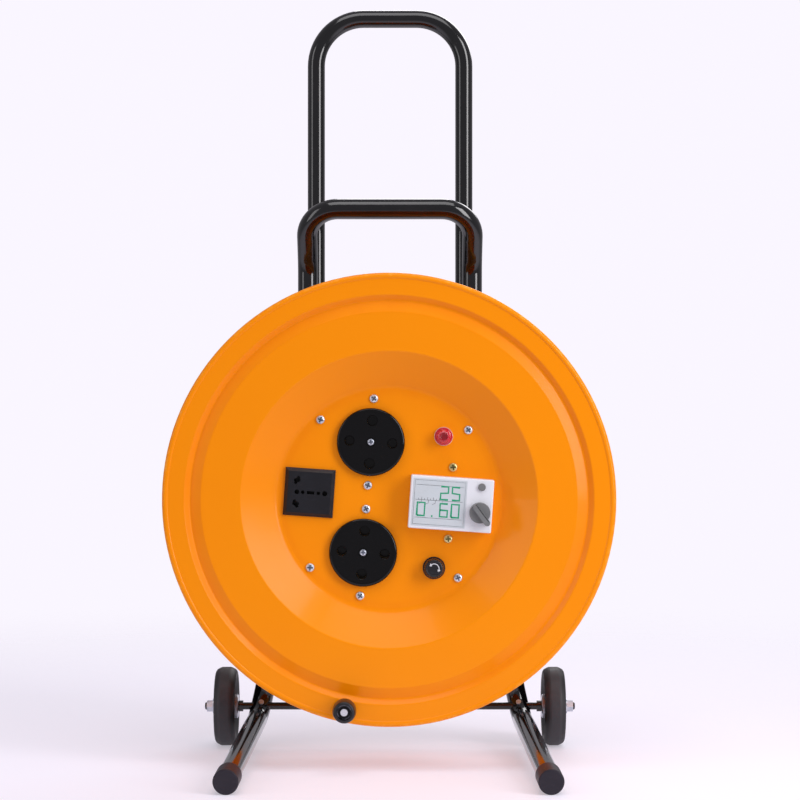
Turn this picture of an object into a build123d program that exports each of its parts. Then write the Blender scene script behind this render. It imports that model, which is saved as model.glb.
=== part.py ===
from build123d import *
import os
from math import atan2, cos, radians, sin, tan

os.makedirs("parts", exist_ok=True)

# Millimetres. X is to the right as seen from the front, Y runs to the back, Z is up, and the
# origin is on the floor under the middle of the trolley. Depths are measured backwards from the
# front rim of the drum.

# ---- drum ----
disc_radius = 230.0
drum_width = 150.0
drum_axis_height = 276.0
disc_sheet = 1.2
rim_bead_radius = 3.6
annulus_depth = 1.0
recess_depth = 26.0
panel_flat_radius = 112.0
recess_corner_radius = 9.0
recess_rim_radius = 150.5
recess_edge_radius = 2.5
groove_inner_radius = 190.5
groove_valley_radius = 202.0
groove_outer_radius = 207.5
groove_depth = 4.5
groove_round = 2.0
core_radius = 118.0
core_wall = 1.2
tab_width = 20.0
tab_reach = 21.0
tab_thickness = 2.0
panel_turn = 4.0
back_screw_offset = 75.0

# ---- bearing of the drum ----
axle_radius = 10.0
running_gap = 0.05
bush_wall = 3.0
bush_length = 20.0
bush_flange_radius = 19.0
bush_flange = 2.0
hub_radius = 17.0
hub_front_depth = 82.0
hub_rear_stand = 3.0
hub_flange_radius = 32.0
hub_flange = 4.0
bulkhead_sheet = 2.0
bulkhead_lip = 12.0
bulkhead_gap = 0.2
bulkhead_setback = 2.0
axle_shoulder_radius = 16.0
axle_thread_radius = 8.0
axle_tip_chamfer = 1.0
washer_thickness = 2.0
front_nut_radius = 17.0
front_nut_height = 8.0
rear_nut_radius = 13.6
rear_nut_height = 12.0
thread_end = 2.0
end_play = 0.3
fit_gap = 0.05
cut_over = 1.0

# ---- frame ----
tube_radius = 11.0
tube_wall = 1.5
upright_spacing = 180.0
upright_depth = 190.0
upright_top = 512.0
splay_height = 290.0
leg_corner_height = 31.0
leg_spread = 286.6
leg_bend_radius = 30.0
splay_bend_radius = 60.0
leg_stub = 46.0
foot_spread = 311.0
foot_reach = 125.0
foot_cap_radius = 12.6
foot_cap_length = 30.0
foot_cap_wall = 3.0
spigot_length = 12.0
lock_screw_radius = 1.5
lock_screw_head_radius = 2.8
lock_screw_head = 2.0
lock_screw_lift = 0.25
handle_spigot_length = 30.0
kink_height = 524.0
handle_bar_height = 583.0
handle_lean = 35.0
kink_bend_radius = 35.0
handle_bend_radius = 34.0
strap_height = 30.0
strap_thickness = 5.0
strap_overhang = 11.0
strap_corner = 4.0
upper_strap_height = 400.0
lower_strap_height = 165.0
plate_width = 70.0
plate_thickness = 4.0
plate_corner = 6.0
plate_bolt_spacing = 44.0
bolt_radius = 4.0
bolt_head_radius = 7.5
bolt_head = 5.5
bolt_clearance = 0.3

# ---- pull handle ----
pull_tube_radius = 9.5
pull_spacing = 163.6
pull_bar_height = 799.4
pull_bend_radius = 52.5
pull_leg_bottom = 330.0
pull_travel = 200.0
guide_radius = 12.5
guide_wall = 1.5
guide_bottom = 116.0
guide_top = 496.0
guide_depth = 214.5
guide_block_heights = (300.0, 478.0)
guide_block_length = 16.0
guide_block_width = 18.0
guide_bush_length = 25.0
guide_collar = 8.0
guide_collar_radius = 13.5
guide_collar_round = 2.0
leg_plug_length = 11.0
clamp_height = 455.0
clamp_boss_radius = 8.0
clamp_boss_length = 10.0
clamp_stem_radius = 4.0
clamp_knob_radius = 15.0
clamp_knob_length = 14.0
clamp_knob_gap = 2.0
knob_lobes = 6
knob_notch_radius = 5.0
knob_notch_offset = 2.0

# ---- wheels ----
wheel_radius = 42.5
wheel_width = 23.0
wheel_spacing = 357.0
wheel_axle_depth = 180.0
wheel_axle_radius = 4.0
wheel_axle_length = 404.0
wheel_hub_radius = 13.0
wheel_hub_width = 26.0
wheel_side_play = 0.3
collar_radius = 6.0
collar_width = 5.0
axle_nut_radius = 6.5
axle_nut_width = 6.5
axle_washer_radius = 8.0
axle_washer = 1.5
rod_chamfer = 0.8
hub_chamfer = 1.0
tyre_inner_inset = 1.5
tyre_ring_reach = 5.0
tyre_web_inset = 3.5
tyre_web_reach = 7.0
tyre_rim_inner = 11.0
tyre_side_inner = 9.0
tyre_side_outer = 4.0
tyre_crown = 0.6

# ---- panel fittings, as (right, up) from the middle of the panel ----
socket_offset = (-22.8, 56.6)
socket_radius = 34.75
socket_stand = 6.0
socket_spigot_radius = 31.0
socket_base_radius = 33.0
socket_base_depth = 30.0
socket_screw_spacing = 89.0
pin_circle_radius = 22.0
pin_bore_radii = (5.2, 4.7)
contact_wall = 0.8
contact_length = 18.0
universal_offset = (-82.0, 0.8)
universal_size = (51.0, 49.0)
universal_stand = 5.0
universal_body = (43.0, 41.0)
universal_depth = 34.0
universal_bevel = 3.5
universal_base = 2.0
slot_column = -13.0
slot_row = 12.0
slot_blade = (3.0, 8.5)
slot_blade_turn = 28.0
slot_bar = (6.6, 2.6)
slot_pin_radius = 2.5
round_slots = ((-12.5, 2.4), (-6.5, 1.8), (9.5, 1.8), (16.0, 2.6))
flat_slot_shift = 1.5
flat_slot = (7.5, 3.2)
breaker_offset = (63.0, 0.0)
breaker_size = (84.5, 54.0)
breaker_stand = 20.0
breaker_body = (78.0, 48.0)
breaker_depth = 40.0
breaker_screw_spacing = 73.4
breaker_label_size = (54.5, 48.0)
breaker_label_shift = -12.2
label_thickness = 0.5
switch_offset = (29.6, -7.0)
switch_radius = 10.75
button_offset = (30.0, 19.0)
button_radius = 3.8
button_travel = 2.0
button_stand = 0.5
button_round = 0.6
lamp_offset = (51.0, 67.5)
lamp_radius = 9.6
fuse_offset = (50.5, -67.3)
fuse_cap_radius = 10.5
fitting_barrel_radius = 7.8
corner_screw_offset = 75.8
screw_head_radius = 4.5
screw_head = 2.6
screw_radius = 2.0
screw_tail = 3.0
recess_share = 0.6
recess_slot_share = 0.28
recess_span_share = 1.15
cut_clearance = 0.3

socket_round = 2.5
socket_dish = 1.0
socket_rim = 1.0
socket_ear_thickness = 6.0
ear_radius = 7.5
centre_recess_radius = 5.5
centre_recess = 3.0
centre_head_inset = 0.8
centre_screw_head_radius = 3.75
centre_screw_depth = 12.0
pin_lip = 0.5
universal_slot_depth = 16.0
case_round = 1.5
clip_thickness = 2.0
clip_width = 16.0
spindle_radius = 3.0
spindle_depth = 9.0
spindle_end_gap = 1.0
switch_height = 7.0
switch_angle = 50.0
switch_bar_length = 25.5
switch_bar_width = 6.0
switch_bar_height = 11.0
switch_bar_inset = 0.5
switch_taper = 4.0
lamp_flange = 1.8
lens_height = 11.0
lens_wall = 2.0
lens_inset = 0.6
lens_taper = 6.0
lens_round = 1.5
bulb_radius = 3.5
bulb_seat = 6.0
bulb_round = 1.5
bulb_top_gap = 2.0
bulb_side_gap = 1.2
barrel_depth = 32.0
barrel_nut_height = 5.0
barrel_nut_reach = 4.0
fuse_flange = 2.0
fuse_flange_reach = 1.0
fuse_bottom = 3.0
fuse_cap_height = 12.0
fuse_crown = 3.0
fuse_crown_taper = 20.0
fuse_ribs = 24
fuse_groove_radius = 0.8
fuse_groove_offset = 0.4
fuse_bore_radius = 5.5
fuse_stem = 12.0
fuse_link_radius = 3.1
fuse_link_length = 30.0
terminal_offset = (-60.0, 0.0)
terminal_size = (30.0, 80.0)
terminal_height = 15.0
terminal_columns = 2
terminal_rows = 5
terminal_screw_inset = 1.0
terminal_screw_radius = 2.2
terminal_screw_depth = 6.0

# ---- crank ----
crank_recess = 6.0
crank_nut_height = 5.0
crank_stud_tail = 1.0
crank_screw_radius = 3.7
crank_screw_head = 2.5
crank_circle_radius = 215.5
crank_angle = 8.0
crank_grip_radius = 12.0
crank_grip_length = 30.0
grip_foot_inset = 2.5
grip_waist_inset = 1.5
grip_foot_height = 2.0
grip_belly_share = 0.6
grip_neck_inset = 1.0
grip_nose_inset = 3.2
grip_nose_height = 2.5
grip_nose_middle = (1.8, 0.8)
grip_mouth_gap = 0.4
crank_stud_radius = 4.0
crank_washer_radius = 7.4
crank_washer = 1.6

# ---- cable inlet ----
inlet_depth = 115.0
inlet_radius = 8.5
inlet_neck_radius = 12.0
inlet_flange_radius = 15.0
inlet_flange = 5.0
inlet_inner_tail = 2.0

# ---- places worked out from the sizes ----
rear_reach = guide_depth + guide_radius + clamp_boss_length + clamp_knob_gap + clamp_knob_length
rim_y = (foot_reach - rear_reach) / 2
plate_front_depth = upright_depth - tube_radius - strap_thickness - plate_thickness
strap_front_depth = plate_front_depth + plate_thickness
panel_back = recess_depth + disc_sheet
back_disc_front = drum_width - annulus_depth - disc_sheet


def spot(x, depth, z):
    return Vector(x, rim_y + depth, z)


drum_centre = spot(0, 0, drum_axis_height)
drum_axis = Axis(drum_centre, (0, 1, 0))
section = Plane(origin=drum_centre, x_dir=(1, 0, 0), z_dir=(0, 0, 1))
panel_right = Vector(cos(radians(panel_turn)), 0, -sin(radians(panel_turn)))


def panel_plane(depth):
    """Faces the front, turned with the drum; (x, y) are right and up on the panel."""
    origin = spot(0, depth, drum_axis_height)
    return Plane(origin=origin, x_dir=panel_right, z_dir=(0, -1, 0))


def front_plane(x, depth, z):
    return Plane(origin=spot(x, depth, z), x_dir=(1, 0, 0), z_dir=(0, -1, 0))


def side_plane(x, depth, z):
    return Plane(origin=spot(x, depth, z), x_dir=(0, 1, 0), z_dir=(1, 0, 0))


def finish(piece, name):
    piece.part.label = name
    export_step(piece.part, f"parts/{name}.step")


def finish_group(parts, name):
    """Like pieces that share one node, each its own solid."""
    with BuildPart() as group:
        add(parts)
    finish(group, name)


def edges_at(piece, plane, radius=None):
    """Round edges of a piece that lie in a plane, of one radius if it is given."""
    found = []
    for edge in piece.edges().filter_by(GeomType.CIRCLE):
        if abs(plane.to_local_coords(edge.center()).Z) > 1e-4:
            continue
        if radius is None or abs(edge.radius - radius) < 1e-4:
            found.append(edge)
    return found


def tube_along(points, radii, outer, inner):
    """Tube swept along straight runs joined by arcs; call inside a BuildPart."""
    with BuildLine() as route:
        FilletPolyline(*points, radius=radii)
    with BuildSketch(Plane(origin=route.line @ 0, z_dir=route.line % 0)) as ring:
        Circle(outer)
        Circle(inner, mode=Mode.SUBTRACT)
    sweep(sections=ring.sketch, path=route.line)


# ================= drum =================
cone_slope = atan2(recess_depth - annulus_depth, recess_rim_radius - panel_flat_radius)
recess_corner = panel_flat_radius + recess_corner_radius * tan(cone_slope / 2)


def disc_points(shift):
    """Front face of the front disc from the middle out, moved back by shift."""
    low = annulus_depth + shift
    return [
        (0, recess_depth + shift),
        (recess_corner, recess_depth + shift),
        (recess_rim_radius, low),
        (groove_inner_radius, low),
        (groove_valley_radius, low + groove_depth),
        (groove_outer_radius, low),
        (disc_radius - rim_bead_radius, low),
    ]


disc_rounds = [recess_corner_radius, recess_edge_radius, groove_round, groove_round, groove_round]
socket_points = [(socket_offset[0], sign * socket_offset[1]) for sign in (1, -1)]
socket_screw_points = [
    (x, y + side * socket_screw_spacing / 2) for x, y in socket_points for side in (1, -1)
]
corner_points = [(x * corner_screw_offset, y * corner_screw_offset) for x in (-1, 1) for y in (-1, 1)]
breaker_screw_points = [
    (breaker_offset[0], side * breaker_screw_spacing / 2) for side in (1, -1)
]
crank_point = (
    -crank_circle_radius * sin(radians(crank_angle)),
    -crank_circle_radius * cos(radians(crank_angle)),
)

with BuildPart() as front_disc:
    with BuildSketch(section):
        with BuildLine():
            front = FilletPolyline(*disc_points(0), radius=disc_rounds)
            back = FilletPolyline(*disc_points(disc_sheet), radius=disc_rounds)
            Line(front @ 0, back @ 0)
            Line(front @ 1, back @ 1)
        make_face()
        with Locations((disc_radius - rim_bead_radius, rim_bead_radius)):
            Circle(rim_bead_radius)
    revolve(axis=drum_axis)
    with BuildSketch(panel_plane(recess_depth - cut_over)):
        with Locations(*socket_points):
            Circle(socket_spigot_radius + cut_clearance)
        with Locations(universal_offset):
            Rectangle(universal_body[0] + 2 * cut_clearance, universal_body[1] + 2 * cut_clearance)
        with Locations(breaker_offset):
            Rectangle(breaker_body[0] + 2 * cut_clearance, breaker_body[1] + 2 * cut_clearance)
        with Locations(lamp_offset, fuse_offset):
            Circle(fitting_barrel_radius + cut_clearance)
        with Locations(*corner_points, *socket_screw_points, *breaker_screw_points):
            Circle(screw_radius + cut_clearance)
    extrude(amount=-(disc_sheet + 2 * cut_over), mode=Mode.SUBTRACT)
    with BuildSketch(panel_plane(0)):
        with Locations(crank_point):
            Circle(crank_stud_radius + fit_gap)
    extrude(amount=-(annulus_depth + disc_sheet + cut_over), mode=Mode.SUBTRACT)
finish(front_disc, "front_disc")

back_screw_points = [(x * back_screw_offset, y * back_screw_offset) for x in (-1, 1) for y in (-1, 1)]

with BuildPart() as back_disc:
    with BuildSketch(section):
        rear = drum_width - annulus_depth
        rear_points = [
            (hub_radius + fit_gap, rear),
            (groove_inner_radius, rear),
            (groove_valley_radius, rear - groove_depth),
            (groove_outer_radius, rear),
            (disc_radius - rim_bead_radius, rear),
        ]
        front_points = [(r, y - disc_sheet) for r, y in rear_points]
        with BuildLine():
            rear_line = FilletPolyline(*rear_points, radius=groove_round)
            front_line = FilletPolyline(*front_points, radius=groove_round)
            Line(rear_line @ 0, front_line @ 0)
            Line(rear_line @ 1, front_line @ 1)
        make_face()
        with Locations((disc_radius - rim_bead_radius, drum_width - rim_bead_radius)):
            Circle(rim_bead_radius)
    revolve(axis=drum_axis)
    with BuildSketch(panel_plane(back_disc_front - cut_over)):
        with Locations(*back_screw_points):
            Circle(screw_radius + cut_clearance)
    extrude(amount=-(disc_sheet + 2 * cut_over), mode=Mode.SUBTRACT)
finish(back_disc, "back_disc")

with BuildPart() as drum_core:
    with BuildSketch(panel_plane(panel_back)):
        Circle(core_radius)
        Circle(core_radius - core_wall, mode=Mode.SUBTRACT)
    extrude(amount=-(back_disc_front - panel_back))
    tab_middle = core_radius - core_wall / 2 - tab_reach / 2
    for start in (panel_back, back_disc_front - tab_thickness):
        with BuildSketch(panel_plane(start)):
            with PolarLocations(tab_middle, 4, start_angle=45):
                Rectangle(tab_reach, tab_width)
            Circle(core_radius - core_wall / 2, mode=Mode.INTERSECT)
        extrude(amount=-tab_thickness)
    with BuildSketch(panel_plane(panel_back)):
        with Locations(*corner_points):
            Circle(screw_radius + fit_gap)
    extrude(amount=-tab_thickness, mode=Mode.SUBTRACT)
    with BuildSketch(panel_plane(back_disc_front)):
        with Locations(*back_screw_points):
            Circle(screw_radius + fit_gap)
    extrude(amount=tab_thickness, mode=Mode.SUBTRACT)
    with BuildSketch(side_plane(core_radius / 2, inlet_depth, drum_axis_height)):
        Circle(inlet_neck_radius + fit_gap)
    extrude(amount=core_radius, mode=Mode.SUBTRACT)
finish(drum_core, "drum_core")

bush_radius = axle_radius + running_gap + bush_wall
hub_rear_depth = drum_width - annulus_depth + hub_rear_stand
bulkhead_depth = hub_front_depth + bulkhead_setback

with BuildPart() as drum_hub:
    with BuildSketch(section):
        with BuildLine():
            flange_front = bulkhead_depth + bulkhead_sheet
            Polyline(
                (bush_radius + fit_gap, hub_front_depth),
                (hub_radius, hub_front_depth),
                (hub_radius, flange_front),
                (hub_flange_radius, flange_front),
                (hub_flange_radius, flange_front + hub_flange),
                (hub_radius, flange_front + hub_flange),
                (hub_radius, back_disc_front - hub_flange),
                (hub_flange_radius, back_disc_front - hub_flange),
                (hub_flange_radius, back_disc_front),
                (hub_radius, back_disc_front),
                (hub_radius, hub_rear_depth),
                (bush_radius + fit_gap, hub_rear_depth),
                close=True,
            )
        make_face()
    revolve(axis=drum_axis)
finish(drum_hub, "drum_hub")

with BuildPart() as bulkhead:
    with BuildSketch(section):
        with BuildLine():
            edge = core_radius - core_wall - bulkhead_gap
            Polyline(
                (hub_radius + fit_gap, bulkhead_depth),
                (edge, bulkhead_depth),
                (edge, bulkhead_depth + bulkhead_lip),
                (edge - bulkhead_sheet, bulkhead_depth + bulkhead_lip),
                (edge - bulkhead_sheet, bulkhead_depth + bulkhead_sheet),
                (hub_radius + fit_gap, bulkhead_depth + bulkhead_sheet),
                close=True,
            )
        make_face()
    revolve(axis=drum_axis)
finish(bulkhead, "bulkhead")


def flanged_bush(flange_outer_depth, inward):
    """Bush with its flange on the outer end; inward is +1 to run backwards."""
    flange_inner = flange_outer_depth + inward * bush_flange
    with BuildPart() as bush:
        with BuildSketch(section):
            with BuildLine():
                Polyline(
                    (axle_radius + running_gap, flange_outer_depth),
                    (bush_flange_radius, flange_outer_depth),
                    (bush_flange_radius, flange_inner),
                    (bush_radius, flange_inner),
                    (bush_radius, flange_inner + inward * bush_length),
                    (axle_radius + running_gap, flange_inner + inward * bush_length),
                    close=True,
                )
            make_face()
        revolve(axis=drum_axis)
    return bush.part


front_bush = flanged_bush(hub_front_depth - bush_flange, 1)
rear_bush = flanged_bush(hub_rear_depth + bush_flange, -1)
finish_group([front_bush, rear_bush], "hub_bushes")

# ================= drum axle =================
front_washer_depth = hub_front_depth - bush_flange - end_play
axle_front_depth = front_washer_depth - washer_thickness - front_nut_height - thread_end
shoulder_depth = hub_rear_depth + bush_flange + end_play
plate_back_depth = plate_front_depth + plate_thickness
axle_rear_depth = plate_back_depth + washer_thickness + rear_nut_height + thread_end

with BuildPart() as drum_axle:
    with BuildSketch(section):
        with BuildLine():
            Polyline(
                (0, axle_front_depth),
                (axle_radius - axle_tip_chamfer, axle_front_depth),
                (axle_radius, axle_front_depth + axle_tip_chamfer),
                (axle_radius, shoulder_depth),
                (axle_shoulder_radius, shoulder_depth),
                (axle_shoulder_radius, plate_front_depth),
                (axle_thread_radius, plate_front_depth),
                (axle_thread_radius, axle_rear_depth - axle_tip_chamfer),
                (axle_thread_radius - axle_tip_chamfer, axle_rear_depth),
                (0, axle_rear_depth),
                close=True,
            )
        make_face()
    revolve(axis=drum_axis)
finish(drum_axle, "drum_axle")

with BuildPart() as axle_washers:
    with BuildSketch(panel_plane(front_washer_depth)):
        Circle(front_nut_radius)
        Circle(axle_radius + fit_gap, mode=Mode.SUBTRACT)
    extrude(amount=washer_thickness)
    with BuildSketch(panel_plane(plate_back_depth)):
        Circle(axle_shoulder_radius)
        Circle(axle_thread_radius + fit_gap, mode=Mode.SUBTRACT)
    extrude(amount=-washer_thickness)

with BuildPart() as axle_nuts:
    with BuildSketch(panel_plane(front_washer_depth - washer_thickness)):
        RegularPolygon(front_nut_radius, 6)
        Circle(axle_radius + fit_gap, mode=Mode.SUBTRACT)
    extrude(amount=front_nut_height)
    with BuildSketch(panel_plane(plate_back_depth + washer_thickness)):
        RegularPolygon(rear_nut_radius, 6)
        Circle(axle_thread_radius + fit_gap, mode=Mode.SUBTRACT)
    extrude(amount=-rear_nut_height)
finish_group([axle_washers.part, axle_nuts.part], "axle_nuts")

# ================= frame =================
leg_corner = (leg_spread / 2, upright_depth, leg_corner_height)
cap_front = (foot_spread / 2, -foot_reach, foot_cap_radius)
foot_run = Vector(*[b - a for a, b in zip(leg_corner, cap_front)])
foot_way = foot_run.normalized()
foot_joint = Vector(*leg_corner) + foot_way * leg_stub
tube_bore = tube_radius - tube_wall


def mirrored(point, sign):
    x, depth, z = point
    return spot(sign * x, depth, z)


def lock_screw_plane(sign):
    """Seat of the screw that locks the wheel axle, on the inside of a leg's bend."""
    corner = mirrored(leg_corner, sign)
    up = (mirrored((upright_spacing / 2, upright_depth, splay_height), sign) - corner).normalized()
    out = Vector(sign * foot_way.X, foot_way.Y, foot_way.Z)
    between = (up + out).normalized()
    centre = corner + between * (leg_bend_radius / sin(radians(up.get_angle(out) / 2)))
    across = up.cross(out)
    level = spot(corner.X, wheel_axle_depth, wheel_radius)
    shift = (centre - level).dot(across) / across.X
    to_axle = (level + Vector(shift, 0, 0) - centre).normalized()
    seat = leg_bend_radius - tube_radius - lock_screw_lift
    return Plane(origin=centre + to_axle * seat, z_dir=to_axle)


foot_caps = []

for side, sign in (("left", -1), ("right", 1)):
    joint = mirrored(tuple(foot_joint), sign)
    way = Vector(sign * foot_way.X, foot_way.Y, foot_way.Z)
    front_end = mirrored(cap_front, sign)
    axle_plane = side_plane(0, wheel_axle_depth, wheel_radius)

    with BuildPart() as upright:
        points = [
            mirrored((upright_spacing / 2, upright_depth, upright_top), sign),
            mirrored((upright_spacing / 2, upright_depth, splay_height), sign),
            mirrored(leg_corner, sign),
            joint,
        ]
        tube_along(points, [splay_bend_radius, leg_bend_radius], tube_radius, tube_bore)
        with BuildSketch(axle_plane):
            Circle(wheel_axle_radius + fit_gap)
        extrude(amount=sign * wheel_spacing / 2, mode=Mode.SUBTRACT)
        with BuildSketch(lock_screw_plane(sign)):
            Circle(lock_screw_radius + fit_gap)
        extrude(amount=2 * tube_wall, mode=Mode.SUBTRACT)
    finish(upright, f"upright_{side}")

    with BuildPart() as foot:
        with BuildSketch(Plane(origin=joint, z_dir=way)):
            Circle(tube_radius)
        foot_length = (front_end - joint).length - foot_cap_wall
        extrude(amount=foot_length)
        with BuildSketch(Plane(origin=joint, z_dir=way)):
            Circle(tube_bore - fit_gap)
        extrude(amount=-spigot_length)
        with BuildSketch(Plane(origin=joint - way * spigot_length, z_dir=way)):
            Circle(tube_bore - tube_wall)
        extrude(amount=spigot_length + foot_length, mode=Mode.SUBTRACT)
    finish(foot, f"foot_{side}")

    with BuildPart() as foot_cap:
        with BuildSketch(Plane(origin=front_end, z_dir=way)):
            Circle(foot_cap_radius)
        extrude(amount=-foot_cap_length)
        fillet(edges_at(foot_cap, Plane(origin=front_end, z_dir=way)), foot_cap_wall / 2)
        with BuildSketch(Plane(origin=front_end - way * foot_cap_wall, z_dir=way)):
            Circle(tube_radius + fit_gap)
        extrude(amount=-foot_cap_length, mode=Mode.SUBTRACT)
    foot_caps.append(foot_cap.part)

finish_group(foot_caps, "foot_caps")

with BuildPart() as carry_handle:
    half = upright_spacing / 2
    bar_depth = upright_depth - (handle_bar_height - kink_height) * tan(radians(handle_lean))
    points = [
        spot(-half, upright_depth, upright_top),
        spot(-half, upright_depth, kink_height),
        spot(-half, bar_depth, handle_bar_height),
        spot(half, bar_depth, handle_bar_height),
        spot(half, upright_depth, kink_height),
        spot(half, upright_depth, upright_top),
    ]
    bends = [kink_bend_radius, handle_bend_radius, handle_bend_radius, kink_bend_radius]
    tube_along(points, bends, tube_radius, tube_bore)
    for x in (-half, half):
        with BuildSketch(Plane(origin=spot(x, upright_depth, upright_top))):
            Circle(tube_radius - tube_wall / 2)
            Circle(tube_bore - tube_wall, mode=Mode.SUBTRACT)
        extrude(amount=tube_wall)
        with BuildSketch(Plane(origin=spot(x, upright_depth, upright_top))):
            Circle(tube_bore - fit_gap)
            Circle(tube_bore - tube_wall, mode=Mode.SUBTRACT)
        extrude(amount=-handle_spigot_length)
finish(carry_handle, "carry_handle")


def upright_x(height):
    """How far an upright stands from the middle at a height above its lower bend."""
    drop = max(0.0, splay_height - height)
    slope = (leg_spread - upright_spacing) / 2 / (splay_height - leg_corner_height)
    return upright_spacing / 2 + drop * slope


bolt_x = (-plate_bolt_spacing / 2, plate_bolt_spacing / 2)
strap_heights = (upper_strap_height, lower_strap_height)
bolt_points = [(x, z) for x in bolt_x for z in strap_heights]

crossbars = []

for height in strap_heights:
    with BuildPart() as strap:
        with BuildSketch(front_plane(0, strap_front_depth, height)):
            RectangleRounded(2 * (upright_x(height) + strap_overhang), strap_height, strap_corner)
            with Locations((bolt_x[0], 0), (bolt_x[1], 0)):
                Circle(bolt_radius + bolt_clearance, mode=Mode.SUBTRACT)
        extrude(amount=-strap_thickness)
    crossbars.append(strap.part)

finish_group(crossbars, "crossbars")

with BuildPart() as axle_plate:
    middle = (upper_strap_height + lower_strap_height) / 2
    with BuildSketch(front_plane(0, plate_front_depth, middle)):
        RectangleRounded(plate_width, upper_strap_height - lower_strap_height + strap_height, plate_corner)
        with Locations(*[(x, z - middle) for x, z in bolt_points]):
            Circle(bolt_radius + bolt_clearance, mode=Mode.SUBTRACT)
        with Locations((0, drum_axis_height - middle)):
            Circle(axle_thread_radius + fit_gap, mode=Mode.SUBTRACT)
    extrude(amount=-plate_thickness)
finish(axle_plate, "axle_plate")

with BuildPart() as plate_bolts:
    with BuildSketch(front_plane(0, plate_front_depth, 0)):
        with Locations(*bolt_points):
            RegularPolygon(bolt_head_radius, 6)
    extrude(amount=bolt_head)
    with BuildSketch(front_plane(0, plate_front_depth, 0)):
        with Locations(*bolt_points):
            Circle(bolt_radius)
    extrude(amount=-(plate_thickness + strap_thickness + bolt_head + thread_end))
    with BuildSketch(front_plane(0, strap_front_depth + strap_thickness, 0)):
        with Locations(*bolt_points):
            RegularPolygon(bolt_head_radius, 6)
    extrude(amount=-bolt_head)
finish(plate_bolts, "plate_bolts")

# ================= guides and pull handle =================
guide_bore = guide_radius - guide_wall
guide_rear_depth = guide_depth + guide_radius
boss_end_depth = guide_rear_depth + clamp_boss_length
knob_start_depth = boss_end_depth + clamp_knob_gap
guide_bushes = []
clamp_bosses = []

for side, sign in (("left", -1), ("right", 1)):
    x = sign * pull_spacing / 2
    clamp_plane = front_plane(x, boss_end_depth, clamp_height)

    with BuildPart() as guide:
        with BuildSketch(Plane(origin=spot(x, guide_depth, guide_bottom))):
            Circle(guide_radius)
            Circle(guide_bore, mode=Mode.SUBTRACT)
        extrude(amount=guide_top - guide_bottom)
        with BuildSketch(clamp_plane):
            Circle(clamp_stem_radius + fit_gap)
        extrude(amount=clamp_boss_length + guide_radius, mode=Mode.SUBTRACT)
    finish(guide, f"guide_tube_{side}")

    with BuildPart() as guide_bush:
        with BuildSketch(Plane(origin=spot(x, guide_depth, guide_top))):
            Circle(guide_collar_radius)
        extrude(amount=guide_collar)
        with BuildSketch(Plane(origin=spot(x, guide_depth, guide_top))):
            Circle(guide_bore - fit_gap)
        extrude(amount=-guide_bush_length)
        with BuildSketch(Plane(origin=spot(x, guide_depth, guide_top - guide_bush_length))):
            Circle(pull_tube_radius + running_gap)
        extrude(amount=guide_bush_length + guide_collar, mode=Mode.SUBTRACT)
        fillet(edges_at(guide_bush, Plane(origin=spot(x, guide_depth, guide_top + guide_collar)),
                        guide_collar_radius), guide_collar_round)
    guide_bushes.append(guide_bush.part)

    with BuildPart() as boss:
        with BuildSketch(clamp_plane):
            Circle(clamp_boss_radius)
        extrude(amount=clamp_boss_length + guide_wall)
        with BuildSketch(Plane(origin=spot(x, guide_depth, clamp_height - 2 * clamp_boss_radius))):
            Circle(guide_radius)
        extrude(amount=4 * clamp_boss_radius, mode=Mode.SUBTRACT)
        with BuildSketch(clamp_plane):
            Circle(clamp_stem_radius + running_gap)
        extrude(amount=clamp_boss_length + guide_radius, mode=Mode.SUBTRACT)
    clamp_bosses.append(boss.part)

    with BuildPart() as knob:
        knob_plane = front_plane(x, knob_start_depth, clamp_height)
        with BuildSketch(knob_plane):
            Circle(clamp_knob_radius)
            with PolarLocations(clamp_knob_radius + knob_notch_offset, knob_lobes):
                Circle(knob_notch_radius, mode=Mode.SUBTRACT)
        extrude(amount=-clamp_knob_length)
        with BuildSketch(knob_plane):
            Circle(clamp_stem_radius)
        tip_depth = guide_depth + pull_tube_radius + end_play
        extrude(amount=knob_start_depth - tip_depth)
    finish(knob, f"clamp_knob_{side}")

finish_group(guide_bushes, "guide_bushes")
finish_group(clamp_bosses, "clamp_bosses")

with BuildPart() as guide_blocks:
    for sign in (-1, 1):
        centre_x = sign * (upright_spacing + pull_spacing) / 4
        middle_depth = (upright_depth + guide_depth) / 2
        for height in guide_block_heights:
            with BuildSketch(Plane(origin=spot(centre_x, middle_depth, height))):
                Rectangle(guide_block_width, guide_depth - upright_depth)
            extrude(amount=guide_block_length)
    for sign in (-1, 1):
        bottom = guide_block_heights[0] - cut_over
        reach = guide_block_heights[1] + guide_block_length + cut_over - bottom
        with BuildSketch(Plane(origin=spot(sign * upright_spacing / 2, upright_depth, bottom))):
            Circle(tube_radius)
        extrude(amount=reach, mode=Mode.SUBTRACT)
        with BuildSketch(Plane(origin=spot(sign * pull_spacing / 2, guide_depth, bottom))):
            Circle(guide_radius)
        extrude(amount=reach, mode=Mode.SUBTRACT)
finish(guide_blocks, "guide_blocks")

with BuildPart() as pull_handle:
    half = pull_spacing / 2
    points = [
        spot(-half, guide_depth, pull_leg_bottom),
        spot(-half, guide_depth, pull_bar_height),
        spot(half, guide_depth, pull_bar_height),
        spot(half, guide_depth, pull_leg_bottom),
    ]
    tube_along(points, pull_bend_radius, pull_tube_radius, pull_tube_radius - tube_wall)
finish(pull_handle, "pull_handle")

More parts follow.
